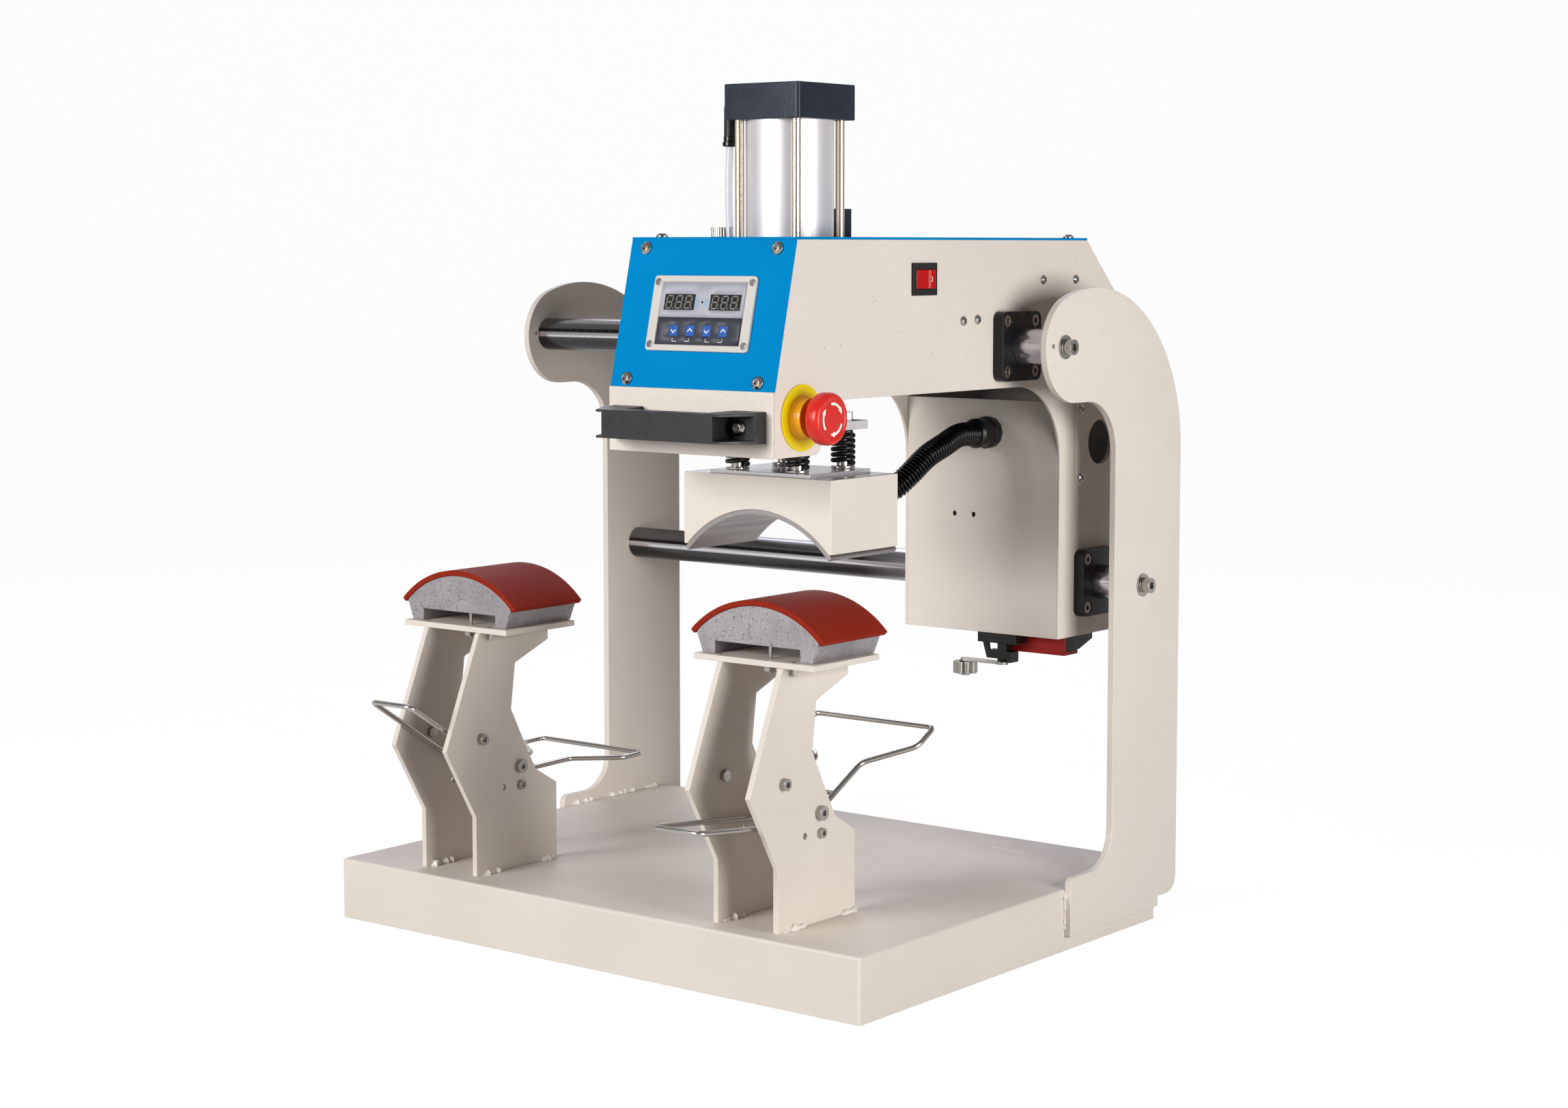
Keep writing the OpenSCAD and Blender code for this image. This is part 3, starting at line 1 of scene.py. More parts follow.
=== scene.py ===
# %% [markdown]
# # A heat press for caps
# This machine presses a print on the front of a cap. Its body is folded, welded steel with a cream powder
# coat, and the head under the air cylinder slides from one stand to the other.
# The exact solids of all moving parts are loaded as a fixed frame. The lesson dresses them. It gives
# each part a finish made from nodes, and each part that needs a fuller shape a surface worked out with numpy.

import json
import math

import bmesh
import bpy
import numpy as np
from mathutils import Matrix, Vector

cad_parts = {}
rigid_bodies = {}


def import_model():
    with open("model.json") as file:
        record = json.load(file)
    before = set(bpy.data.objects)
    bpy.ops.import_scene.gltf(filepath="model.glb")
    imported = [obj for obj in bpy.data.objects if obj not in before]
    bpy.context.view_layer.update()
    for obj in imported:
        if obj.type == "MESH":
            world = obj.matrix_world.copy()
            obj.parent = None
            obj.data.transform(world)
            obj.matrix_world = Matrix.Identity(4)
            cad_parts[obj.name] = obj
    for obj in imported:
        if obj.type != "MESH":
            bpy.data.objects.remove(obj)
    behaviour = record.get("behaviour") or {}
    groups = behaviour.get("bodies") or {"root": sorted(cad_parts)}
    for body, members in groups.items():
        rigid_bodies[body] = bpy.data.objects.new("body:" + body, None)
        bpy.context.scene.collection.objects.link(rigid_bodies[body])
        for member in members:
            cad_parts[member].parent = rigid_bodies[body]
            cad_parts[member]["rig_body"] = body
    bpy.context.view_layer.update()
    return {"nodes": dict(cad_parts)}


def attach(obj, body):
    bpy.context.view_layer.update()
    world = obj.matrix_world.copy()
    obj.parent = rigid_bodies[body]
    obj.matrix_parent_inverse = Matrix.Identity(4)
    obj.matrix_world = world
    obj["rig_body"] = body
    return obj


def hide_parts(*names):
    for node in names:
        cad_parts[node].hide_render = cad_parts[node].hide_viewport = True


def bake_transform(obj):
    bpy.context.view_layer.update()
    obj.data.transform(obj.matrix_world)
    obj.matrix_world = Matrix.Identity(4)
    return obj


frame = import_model()


# %% [markdown]
# ## Places from the drawing
# The drawing of the press counts millimetres from the front edge of the base, while the frame counts metres
# from the middle of the floor. One small function turns a drawing's point into the frame's, so every number
# below can be compared with the drawing. A second one stands on the slanted front panel, because the
# controller, its keys and its screws are all laid out along that slope.

# %% From the drawing to the frame
FRONT_EDGE = 188.0
HEAD_X = 158.4
WALL_X = HEAD_X + 81
PANEL_LOW = (484.5, -48.0)
SLOPE = math.atan2(27.5, 115.5)


def spot(points):
    """Millimetres of the drawing, one row per point, as metres of the frame."""
    moved = np.array(points, float)
    moved[..., 1] -= FRONT_EDGE
    return moved / 1000


def on_panel(points, along=58.4):
    """Points (right, up the slope, out of it) around a place that lies so far up the slanted panel."""
    p = np.array(points, float)
    up = np.array([0, math.sin(SLOPE), math.cos(SLOPE)])
    out = np.array([0, -math.cos(SLOPE), math.sin(SLOPE)])
    middle = np.array([HEAD_X + 1, PANEL_LOW[1], PANEL_LOW[0]]) + along * up
    right = np.array([1.0, 0, 0])
    return spot(middle + p[..., :1] * right + p[..., 1:2] * up + p[..., 2:3] * out)


def on_wall(points, y, z):
    """Points (to the back, up, out of the wall) around a place on the head's right wall."""
    p = np.array(points, float)
    return spot(np.stack([WALL_X + p[..., 2], y + p[..., 0], z + p[..., 1]], -1))


print("slope of the panel:", round(math.degrees(SLOPE), 2), "degrees")


# %% [markdown]
# ## The camera
# A product photograph is taken from far away with a long lens, so that the uprights stay nearly parallel.
# The place, the turn and the lens here were fitted to points of the photograph, and the small shift moves
# the picture up because the photographer cropped it.

# %% The camera
camera = bpy.data.objects.new("camera", bpy.data.cameras.new("camera"))
bpy.context.scene.collection.objects.link(camera)
bpy.context.scene.camera = camera
turn, pitch = math.radians(38.02), math.radians(-5.10)
look = Vector((-math.sin(turn) * math.cos(pitch), math.cos(turn) * math.cos(pitch), math.sin(pitch)))
camera.location = spot([1526.9, -1682.2, 592.75])
camera.rotation_mode = "QUATERNION"
camera.rotation_quaternion = look.to_track_quat("-Z", "Y")
camera.data.sensor_width = 36
camera.data.lens = 64.26
camera.data.shift_y = -0.0369
camera.data.clip_start = 0.05
camera.data.clip_end = 50
print("camera is", round(camera.location.length, 2), "m from the middle of the floor")


# %% [markdown]
# ## Making a piece
# Every new piece starts as arrays: points, and faces that are rows of point numbers. The helper merges
# points that meet, which closes seams and poles, turns all faces outwards, smooths the shading up to a chosen
# angle, and puts the piece on the body that carries it. The object stays at the origin, so that patterns
# on Object coordinates keep their true size in metres.

# %% Points and faces become a piece
def make_piece(name, points, faces, body, finish, slot, crease=40):
    """Mesh of points and faces: merged, turned outwards, smooth below the crease angle, riding on a body."""
    mesh = bpy.data.meshes.new(name)
    mesh.from_pydata(np.asarray(points, float).reshape(-1, 3), [], [list(f) for f in faces])
    work = bmesh.new()
    work.from_mesh(mesh)
    bmesh.ops.remove_doubles(work, verts=work.verts, dist=2e-6)
    bmesh.ops.dissolve_degenerate(work, edges=work.edges, dist=1e-7)
    bmesh.ops.recalc_face_normals(work, faces=work.faces)
    work.to_mesh(mesh)
    work.free()
    mesh.polygons.foreach_set("use_smooth", np.ones(len(mesh.polygons), bool))
    mesh.set_sharp_from_angle(angle=math.radians(crease))
    mesh.materials.append(finish)
    obj = bpy.data.objects.new(name, mesh)
    bpy.context.scene.collection.objects.link(obj)
    if body:
        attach(obj, body)
    return obj


def grid_faces(rows, columns, ring_rows=False, ring_columns=False, start=0):
    """Four-sided faces of a grid of points, by number. A ring joins its last row or column to its first."""
    number = start + np.arange(rows * columns).reshape(rows, columns)
    i = np.arange(rows if ring_rows else rows - 1)
    j = np.arange(columns if ring_columns else columns - 1)
    i2 = (i + 1) % rows
    j2 = (j + 1) % columns
    corners = [number[i][:, j], number[i2][:, j], number[i2][:, j2], number[i][:, j2]]
    return np.stack(corners, -1).reshape(-1, 4)


def unit(vectors):
    """Each vector divided by its own length."""
    v = np.asarray(vectors, float)
    return v / np.linalg.norm(v, axis=-1, keepdims=True)


def turned(profile, middle, axis, sides=96):
    """Points of a turned shape: a profile of (radius, height) pairs carried round an axis through middle."""
    axis = unit(axis)
    first = unit(np.cross(axis, [0.3, 0.9, 0.2]))
    second = np.cross(axis, first)
    r, h = np.array(profile, float).T
    a = np.linspace(0, 2 * math.pi, sides, endpoint=False)
    round_it = np.cos(a)[None, :, None] * first + np.sin(a)[None, :, None] * second
    return np.array(middle) + r[:, None, None] * round_it + h[:, None, None] * axis


def carried(path, radius, sides, reference):
    """Points of a tube: at each point of the path a circle of that radius, square to the path's direction."""
    ahead = unit(np.gradient(path, axis=0))
    across = unit(np.cross(ahead, reference))
    over = np.cross(ahead, across)
    a = np.linspace(0, 2 * math.pi, sides, endpoint=False)
    circle = np.cos(a)[None, :, None] * across[:, None] + np.sin(a)[None, :, None] * over[:, None]
    return path[:, None] + np.broadcast_to(radius, len(path))[:, None, None] * circle


def closed_tube(rings):
    """Points and faces of a tube whose two ends draw together to their middle."""
    first = np.broadcast_to(rings[0].mean(0), rings[0].shape)
    last = np.broadcast_to(rings[-1].mean(0), rings[-1].shape)
    full = np.concatenate([first[None], rings, last[None]])
    return full.reshape(-1, 3), grid_faces(full.shape[0], full.shape[1], ring_columns=True)


def joined(parts):
    """Several pairs of points and faces as one pair."""
    starts = np.cumsum([0] + [len(points) for points, _ in parts])
    points = np.concatenate([points for points, _ in parts])
    return points, np.concatenate([faces + start for (_, faces), start in zip(parts, starts)])


def smooth_line(corners, count):
    """A smooth curve through the corners, in count points an even distance apart. Between two corners it is
    the cubic whose slopes are half the distance from the corner before to the one after."""
    c = np.array(corners, float)
    c = np.concatenate([2 * c[:1] - c[1:2], c, 2 * c[-1:] - c[-2:-1]])
    s = np.linspace(0, len(corners) - 1, 40 * len(corners))
    i = np.minimum(s.astype(int), len(corners) - 2)
    t = (s - i)[:, None]
    a, b, d, e = c[i], c[i + 1], c[i + 2], c[i + 3]
    line = 0.5 * (2 * b + (d - a) * t + (2 * a - 5 * b + 4 * d - e) * t**2 + (3 * b - a - 3 * d + e) * t**3)
    run = np.concatenate([[0], np.cumsum(np.linalg.norm(np.diff(line, axis=0), axis=1))])
    even = np.linspace(0, run[-1], count)
    return np.stack([np.interp(even, run, line[:, k]) for k in range(3)], 1)


def length_of(line):
    """Sum of the steps along a line of points."""
    return float(np.linalg.norm(np.diff(line, axis=0), axis=1).sum())


print("helpers for grids, turned shapes and tubes are ready")


# %% [markdown]
# ## Building blocks of a finish
# A painted sheet is never one colour. Seen close up it has a fine grain, seen from further off it has a faint
# cloudiness, and its gloss varies a little. Three helpers cover this: a noise at a real size, a blend of
# two colours by that noise, and a relief that tilts the surface. Colours are given as they look
# on a screen and turned into the linear values that the shader uses.

# %% Noise, tone and relief
def linear(colour, alpha=1.0):
    """Screen colour, 0 to 1 each, as the linear value of light that the shader works in."""
    c = np.array(colour, float)
    low = c / 12.92
    high = ((c + 0.055) / 1.055) ** 2.4
    return (*np.where(c <= 0.04045, low, high).tolist(), alpha)


def new_finish(name, colour, gloss_loss, metal=0.0):
    """Material with its colour, its roughness from 0 mirror to 1 matt, and how far it is a metal."""
    finish = bpy.data.materials.new(name)
    finish.use_nodes = True
    shader = finish.node_tree.nodes["Principled BSDF"]
    shader.inputs["Base Color"].default_value = linear(colour)
    shader.inputs["Roughness"].default_value = gloss_loss
    shader.inputs["Metallic"].default_value = metal
    return finish, shader


def noise(shader, grains_per_metre, detail=2.0, stretch=(1, 1, 1), warp=0.0):
    """Noise on the piece's own metres. Stretch above 1 packs the grains closer along that axis."""
    tree = shader.id_data
    place = tree.nodes.new("ShaderNodeTexCoord")
    scale = tree.nodes.new("ShaderNodeMapping")
    scale.inputs["Scale"].default_value = stretch
    grains = tree.nodes.new("ShaderNodeTexNoise")
    grains.inputs["Scale"].default_value = grains_per_metre
    grains.inputs["Detail"].default_value = detail
    grains.inputs["Distortion"].default_value = warp
    tree.links.new(place.outputs["Object"], scale.inputs["Vector"])
    tree.links.new(scale.outputs["Vector"], grains.inputs["Vector"])
    return grains.outputs["Fac"]


def between(shader, value, low, high, out_low=0.0, out_high=1.0):
    """The value spread from low..high to out_low..out_high, and held at those ends."""
    tree = shader.id_data
    spread = tree.nodes.new("ShaderNodeMapRange")
    spread.inputs["From Min"].default_value = low
    spread.inputs["From Max"].default_value = high
    spread.inputs["To Min"].default_value = out_low
    spread.inputs["To Max"].default_value = out_high
    tree.links.new(value, spread.inputs["Value"])
    return spread.outputs["Result"]


def tint(shader, share, colour):
    """Blends another colour over what already colours the shader, by a share from 0 to 1."""
    tree = shader.id_data
    mix = tree.nodes.new("ShaderNodeMix")
    mix.data_type = "RGBA"
    base = shader.inputs["Base Color"]
    if base.links:
        tree.links.new(base.links[0].from_socket, mix.inputs["A"])
    else:
        mix.inputs["A"].default_value = base.default_value
    mix.inputs["B"].default_value = linear(colour)
    tree.links.new(share, mix.inputs["Factor"])
    tree.links.new(mix.outputs["Result"], base)


def relief(shader, height, depth, strength=1.0):
    """Tilts the surface as if height 0 to 1 stood that many metres out, over any relief already there."""
    tree = shader.id_data
    bump = tree.nodes.new("ShaderNodeBump")
    bump.inputs["Distance"].default_value = depth
    bump.inputs["Strength"].default_value = strength
    normal = shader.inputs["Normal"]
    if normal.links:
        tree.links.new(normal.links[0].from_socket, bump.inputs["Normal"])
    tree.links.new(height, bump.inputs["Height"])
    tree.links.new(bump.outputs["Normal"], normal)


def gloss(shader, value, low, high):
    """Lets roughness run from low to high with a value from 0 to 1."""
    shader.id_data.links.new(between(shader, value, 0.3, 0.7, low, high), shader.inputs["Roughness"])


print("finish helpers are ready")


# %% [markdown]
# ## Powder coat
# Powder coat is a plastic dust that melts on the warm sheet. It leaves a fine sandy relief under a
# slightly wavy skin, and here and there a dark grain of dust that baked in with it. Cream, blue and
# slate are the same recipe with other colours and other grain.

# %% Powder coats
def powder_coat(name, colour, shade, rough, grain_depth, shine, dust=0.0):
    """Coat with a cloudy tone, a sandy relief of about 1 mm, a wavy one of about 6 mm, and sparse dust."""
    finish, shader = new_finish(name, colour, rough)
    clouds = noise(shader, 9, 3)
    tint(shader, between(shader, clouds, 0.35, 0.75), shade)
    sand = noise(shader, 620, 2)
    tint(shader, between(shader, sand, 0.45, 0.8, 0, 0.6), shade)
    if dust:
        specks = noise(shader, 520, 0)
        tint(shader, between(shader, specks, 1 - dust, 1.02 - dust, 0, 0.4), (0.42, 0.37, 0.33))
    gloss(shader, noise(shader, 60, 2), rough - 0.05, rough + 0.06)
    relief(shader, noise(shader, 150, 1), 0.00012, 0.5)
    relief(shader, sand, grain_depth, 0.6)
    shader.inputs["Specular IOR Level"].default_value = shine
    return finish


cream = powder_coat("cream_powder_coat", (0.885, 0.847, 0.808), (0.862, 0.82, 0.776), 0.46, 0.0002, 0.3, 0.16)
blue = powder_coat("blue_powder_coat", (0.0, 0.52, 0.765), (0.0, 0.50, 0.745), 0.5, 0.0001, 0.01)
slate = powder_coat("slate_paint", (0.145, 0.17, 0.225), (0.115, 0.135, 0.18), 0.34, 0.00018, 0.25)
print("coats:", cream.name, blue.name, slate.name)


# %% [markdown]
# ## Bare metals
# Each metal here was worked in its own way, and the marks of the work are what the eye reads. The rails were
# ground while they turned, so their marks run round them; the long light and dark bands along the rails are
# painted reflections. The plates were milled, in long lines. The stands' tops were cast in sand and are
# pitted and speckled. Drawn wire and screws are nearly mirrors.

# %% Bare metals
# Painted reflections on the rails: pairs of height across the rod and the grey painted there, as a dark room
# with one bright window would be reflected.
PAINTED_REFLECTION_BANDS = ((0.01, 0.42), (0.06, 0.22), (0.3, 0.24), (0.42, 0.3), (0.46, 0.92), (0.57, 0.92),
         (0.6, 0.14), (0.68, 0.16), (0.71, 0.5), (0.92, 0.55), (0.99, 0.35))


def ground_steel(name, middle=None):
    """Steel with fine rings along X and thin streaks. Given the height of its middle, a 30 mm rod also gets
    long painted reflection bands, pairs of height from 0 to 1 and grey, as a dark room with one bright window
    leaves them. Right of the middle of the base the painted bands fade into a brighter plain steel, which is
    painted light too."""
    finish, shader = new_finish(name, (0.62, 0.61, 0.625), 0.2, 1.0)
    tree = shader.id_data
    rings = noise(shader, 1, 3, (1500, 40, 40))
    if middle:
        place = tree.nodes.new("ShaderNodeTexCoord")
        parts = tree.nodes.new("ShaderNodeSeparateXYZ")
        # Painted reflection bands: a ramp of grey by height across the rod.
        bands = tree.nodes.new("ShaderNodeValToRGB")
        tree.links.new(place.outputs["Object"], parts.inputs[0])
        height = between(shader, parts.outputs["Z"], middle - 0.015, middle + 0.015)
        tree.links.new(height, bands.inputs["Fac"])
        for at, grey in PAINTED_REFLECTION_BANDS:
            stop = bands.color_ramp.elements.new(at)
            stop.color = linear((grey, 0.985 * grey, grey))
        bands.color_ramp.elements.remove(bands.color_ramp.elements[0])
        tree.links.new(bands.outputs["Color"], shader.inputs["Base Color"])
        # Right of the base's middle the bands fade into a brighter steel, also painted light.
        tint(shader, between(shader, parts.outputs["X"], 0.0, 0.08, 0, 0.9), (0.80, 0.78, 0.81))
    tint(shader, between(shader, noise(shader, 1, 2, (3, 200, 200)), 0.5, 0.75, 0, 0.25), (0.36, 0.35, 0.36))
    tint(shader, between(shader, rings, 0.4, 0.7, 0, 0.3), (0.4, 0.39, 0.4))
    gloss(shader, rings, 0.14, 0.27)
    relief(shader, rings, 0.00001, 0.5)
    return finish


def milled_plate(name, colour, rough, stretch, metal=0.8):
    """Aluminium with lines along one axis and a cloudy tone."""
    finish, shader = new_finish(name, colour, rough, metal)
    lines = noise(shader, 1, 3, stretch)
    tint(shader, between(shader, lines, 0.35, 0.7, 0, 0.4), tuple(0.84 * c for c in colour))
    tint(shader, between(shader, noise(shader, 30, 3), 0.45, 0.8, 0, 0.4), tuple(0.9 * c for c in colour))
    gloss(shader, lines, rough - 0.08, rough + 0.08)
    relief(shader, lines, 0.00002, 0.5)
    return finish


def cast_metal(name, colour):
    """Sand casting: dark pits and bright grains of half a millimetre on a rough, uneven skin."""
    finish, shader = new_finish(name, colour, 0.5, 0.55)
    grains = noise(shader, 620, 3)
    tint(shader, between(shader, grains, 0.56, 0.74, 0, 0.75), (0.78, 0.76, 0.77))
    tint(shader, between(shader, noise(shader, 480, 2), 0.6, 0.72, 0, 0.75), (0.3, 0.285, 0.285))
    tint(shader, between(shader, noise(shader, 26, 3), 0.45, 0.75, 0, 0.5), tuple(0.75 * c for c in colour))
    gloss(shader, grains, 0.42, 0.62)
    relief(shader, noise(shader, 70, 2), 0.0004, 0.4)
    relief(shader, grains, 0.00022, 0.7)
    return finish


def bright_steel(name, colour, rough):
    """Drawn and polished steel with faint hairlines."""
    finish, shader = new_finish(name, colour, rough, 1.0)
    hairs = noise(shader, 1500, 2, (1, 1, 1), 0.5)
    tint(shader, between(shader, hairs, 0.5, 0.75, 0, 0.12), tuple(0.85 * c for c in colour))
    gloss(shader, hairs, rough - 0.02, rough + 0.03)
    relief(shader, hairs, 0.000002, 0.3)
    return finish


rod_steel = ground_steel("ground_steel")
# The rails' steels carry painted reflection bands around their own middles.
upper_rail_steel = ground_steel("upper_rail_steel", 0.5103)
lower_rail_steel = ground_steel("lower_rail_steel", 0.3013)
plate_metal = milled_plate("milled_aluminium", (0.84, 0.825, 0.84), 0.4, (6, 700, 700), 0.3)
polished_plate = milled_plate("polished_plate", (0.86, 0.845, 0.86), 0.24, (6, 500, 500), 0.6)
tube_metal = milled_plate("anodised_tube", (0.86, 0.845, 0.855), 0.42, (900, 900, 5), 0.5)
# The heating element's aluminium is darker and warmer than the plates; the darkness is painted shade of its
# underside.
element_metal = milled_plate("element_aluminium_painted_shade", (0.60, 0.58, 0.57), 0.36, (500, 8, 500))
cast = cast_metal("cast_aluminium", (0.60, 0.58, 0.585))
wire_steel = bright_steel("drawn_wire", (0.72, 0.70, 0.68), 0.2)
screw_steel = bright_steel("bright_screws", (0.66, 0.64, 0.62), 0.2)
tie_rod_steel = bright_steel("tie_rod_steel", (0.78, 0.73, 0.66), 0.28)
print("metals:", rod_steel.name, plate_metal.name, cast.name, wire_steel.name)


# %% [markdown]
# ## Rubber and plastics
# The pads are silicone sheet, matt with a slight bloom of talc. The handle and the glands are glass filled
# nylon with a leathery grain. The emergency stop is moulded smooth. Clear hose lets light through, with
# a soft haze.

# %% Rubber and plastics
def silicone(name, colour):
    """Matt rubber with a fine grain, a paler bloom in clouds and small lint."""
    finish, shader = new_finish(name, colour, 0.58)
    tint(shader, between(shader, noise(shader, 24, 4), 0.45, 0.8, 0, 0.25), (0.62, 0.2, 0.13))
    tint(shader, between(shader, noise(shader, 520, 2), 0.6, 0.8, 0, 0.35), (0.66, 0.27, 0.19))
    relief(shader, noise(shader, 800, 2), 0.00008, 0.5)
    relief(shader, noise(shader, 60, 2), 0.0003, 0.25)
    shader.inputs["Sheen Weight"].default_value = 0.02
    shader.inputs["Specular IOR Level"].default_value = 0.06
    return finish


def moulded(name, colour, rough, grain=0.00006, lift=1.25, cloud=0.35):
    """Moulded plastic: a leathery grain, a slightly lighter tone on its rises."""
    finish, shader = new_finish(name, colour, rough)
    leather = noise(shader, 800, 2)
    tint(shader, between(shader, leather, 0.45, 0.8, 0, 0.4), tuple(min(1, lift * c) for c in colour))
    tint(shader, between(shader, noise(shader, 40, 3), 0.5, 0.8, 0, cloud), tuple(0.85 * c for c in colour))
    gloss(shader, noise(shader, 90, 2), rough - 0.06, rough + 0.08)
    relief(shader, leather, grain, 0.5)
    shader.inputs["Specular IOR Level"].default_value = 0.35
    return finish


def clear_hose(name):
    """Clear soft plastic with a slight haze."""
    finish, shader = new_finish(name, (0.93, 0.94, 0.95), 0.18)
    shader.inputs["Transmission Weight"].default_value = 0.75
    shader.inputs["IOR"].default_value = 1.4
    tint(shader, between(shader, noise(shader, 120, 2), 0.4, 0.7, 0, 0.3), (0.82, 0.84, 0.87))
    return finish


pad_rubber = silicone("red_silicone", (0.56, 0.15, 0.08))
nylon = moulded("black_nylon", (0.12, 0.115, 0.12), 0.42, 0.00014, 1.7)
black_plastic = moulded("black_plastic", (0.028, 0.028, 0.031), 0.4, 0.00008, 1.6)
hose_nylon = moulded("conduit_nylon", (0.012, 0.012, 0.014), 0.18, 0.00001, 1.4)
black_oxide = moulded("black_oxide_steel", (0.05, 0.05, 0.06), 0.3, 0.00004, 1.5)
stop_red = moulded("stop_red", (0.82, 0.14, 0.11), 0.28, 0.00001, 1.05)
ring_yellow = moulded("ring_yellow", (0.93, 0.83, 0.02), 0.36, 0.00001, 1.03)
collar_yellow = moulded("collar_yellow", (0.97, 0.68, 0.05), 0.33, 0.00001, 1.03)
rocker_red = moulded("rocker_red", (0.72, 0.03, 0.03), 0.16, 0.00001, 1.2)
# Pale red for the rocker's painted highlight band.
rocker_highlight_paint = moulded("rocker_highlight_paint", (0.80, 0.36, 0.32), 0.12, 0.00001, 1.1, cloud=0.1)
block_red = moulded("block_red", (0.62, 0.09, 0.06), 0.45, 0.00005, 1.15)
bezel_plastic = moulded("bezel_plastic", (0.80, 0.775, 0.755), 0.42, 0.00004, 1.05, cloud=0.08)
white_ink = moulded("white_ink", (0.93, 0.92, 0.9), 0.5, 0.000002, 1.02, cloud=0.08)
label_silver = moulded("label_silver", (0.67, 0.67, 0.71), 0.5, 0.000002, 1.05, cloud=0.08)
label_dark = moulded("label_dark", (0.22, 0.22, 0.26), 0.5, 0.000002, 1.1, cloud=0.08)
key_blue = moulded("key_blue", (0.02, 0.31, 0.64), 0.4, 0.000002, 1.1, cloud=0.08)
window_black = moulded("window_black", (0.17, 0.165, 0.165), 0.12, 0.00001, 1.2, cloud=0.08)
digit_grey = moulded("unlit_digit", (0.50, 0.485, 0.47), 0.3, 0.00001, 1.1, cloud=0.08)
ink_blue = moulded("ink_blue", (0.45, 0.66, 0.80), 0.4, 0.00001, 1.05, cloud=0.08)
hose_clear = clear_hose("clear_hose")
print("plastics and rubber:", pad_rubber.name, nylon.name, stop_red.name, hose_clear.name)


# %% [markdown]
# ## Dressing the solids
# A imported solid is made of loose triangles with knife-sharp edges. A real sheet has a fold or a
# broken edge that catches a line of light. So each solid is copied, its points are merged, its flat triangles
# are joined into whole faces, and a Bevel modifier rounds the edges by the amount that the real part
# has: 2.6 mm where the pan is folded, about half a millimetre on cut plate. The copy takes the
# solid's place in the picture.

# %% Copies with rounded edges
def dressed(node, finish, edge_mm=0.35, crease=32, steps=2, name=None):
    """Copy of a solid: merged, its flat triangles joined, its edges rounded by edge_mm."""
    source = frame["nodes"][node].data
    points = np.zeros(len(source.vertices) * 3)
    source.vertices.foreach_get("co", points)
    corners = np.zeros(len(source.loops), int)
    source.loops.foreach_get("vertex_index", corners)
    work = bmesh.new()
    raw = bpy.data.meshes.new(node + "_raw")
    raw.from_pydata(points.reshape(-1, 3), [], corners.reshape(-1, 3).tolist())
    work.from_mesh(raw)
    bmesh.ops.remove_doubles(work, verts=work.verts, dist=2e-6)
    bmesh.ops.dissolve_degenerate(work, edges=work.edges, dist=1e-7)
    bmesh.ops.dissolve_limit(work, angle_limit=math.radians(0.6), verts=work.verts, edges=work.edges)
    mesh = bpy.data.meshes.new(name or node + "_finished")
    work.to_mesh(mesh)
    work.free()
    bpy.data.meshes.remove(raw)
    mesh.polygons.foreach_set("use_smooth", np.ones(len(mesh.polygons), bool))
    mesh.set_sharp_from_angle(angle=math.radians(crease))
    mesh.materials.append(finish)
    obj = bpy.data.objects.new(name or node + "_finished", mesh)
    bpy.context.scene.collection.objects.link(obj)
    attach(obj, frame["nodes"][node]["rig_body"])
    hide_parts(node)
    if edge_mm:
        bevel = obj.modifiers.new("broken_edges", "BEVEL")
        bevel.width = edge_mm / 1000
        bevel.segments = steps
        bevel.limit_method = "ANGLE"
        bevel.angle_limit = math.radians(crease)
        bevel.use_clamp_overlap = False
        bevel.harden_normals = True
    return obj


# Each row: the solids, their finish, its slot, the rounding in millimetres and the steps that make it up.
COPIES = (
    ("left_frame_plate right_frame_plate left_station_plates right_station_plates",
     cream, "cream_paint", 0.55, 3),
    ("station_tables left_wall right_wall rear_cover access_covers", cream, "cream_paint", 0.4, 2),
    ("nose_shell rear_box heater_housing", cream, "cream_paint", 0.6, 3),
    ("front_panel top_cover", blue, "blue_paint", 0.35, 2),
    ("cylinder_caps", slate, "slate_paint", 0.8, 3),
    ("valve_block", slate, "slate_paint", 0.6, 2),
    ("cylinder_mount carrier_plate", plate_metal, "bare_aluminium", 0.4, 2),
    ("heater_plate", polished_plate, "bare_aluminium", 0.4, 2),
    ("heating_element", element_metal, "cast_aluminium", 0.3, 2),
    ("station_platens", cast, "cast_aluminium", 0.7, 3),
    ("upper_bearings lower_bearings", black_oxide, "black_steel", 0.5, 2),
    ("upper_rail", upper_rail_steel, "ground_steel", 0.5, 2),
    ("lower_rail", lower_rail_steel, "ground_steel", 0.5, 2),
    ("piston_rod", rod_steel, "ground_steel", 0.5, 2),
    ("cylinder_tube", tube_metal, "tube_aluminium", 0.2, 2),
    ("tie_rods", tie_rod_steel, "chrome_steel", 0.2, 2),
    ("rail_screws table_screws station_screws lever_pivots carriage_screws guide_pins switch_lever "
     "switch_roller", screw_steel, "chrome_steel", 0.25, 2),
    ("limit_switch rocker_bezel hose_fittings heater_gland", black_plastic, "black_nylon", 0.4, 2),
    ("parking_block", block_red, "block_red", 0.6, 2),
    ("valve_knob", screw_steel, "bare_aluminium", 0.3, 2),
    ("controller_bezel", bezel_plastic, "bezel_plastic", 0.5, 3),
    ("display_windows", window_black, "dark_window", 0.1, 2),
    ("power_rocker", rocker_red, "rocker_red", 0.4, 2),
    ("key_1 key_2 key_3 key_4", key_blue, "key_blue", 0.35, 2),
    ("handle", nylon, "black_nylon", 0.5, 2),
    ("stop_stem", hose_nylon, "black_nylon", 0.3, 2),
)
for nodes, finish, slot, rounding, count in COPIES:
    for node in nodes.split():
        dressed(node, finish, rounding, steps=count)
for node in ("left_cap_lever", "right_cap_lever"):
    dressed(node, wire_steel, 0, 50)
print("solids dressed")


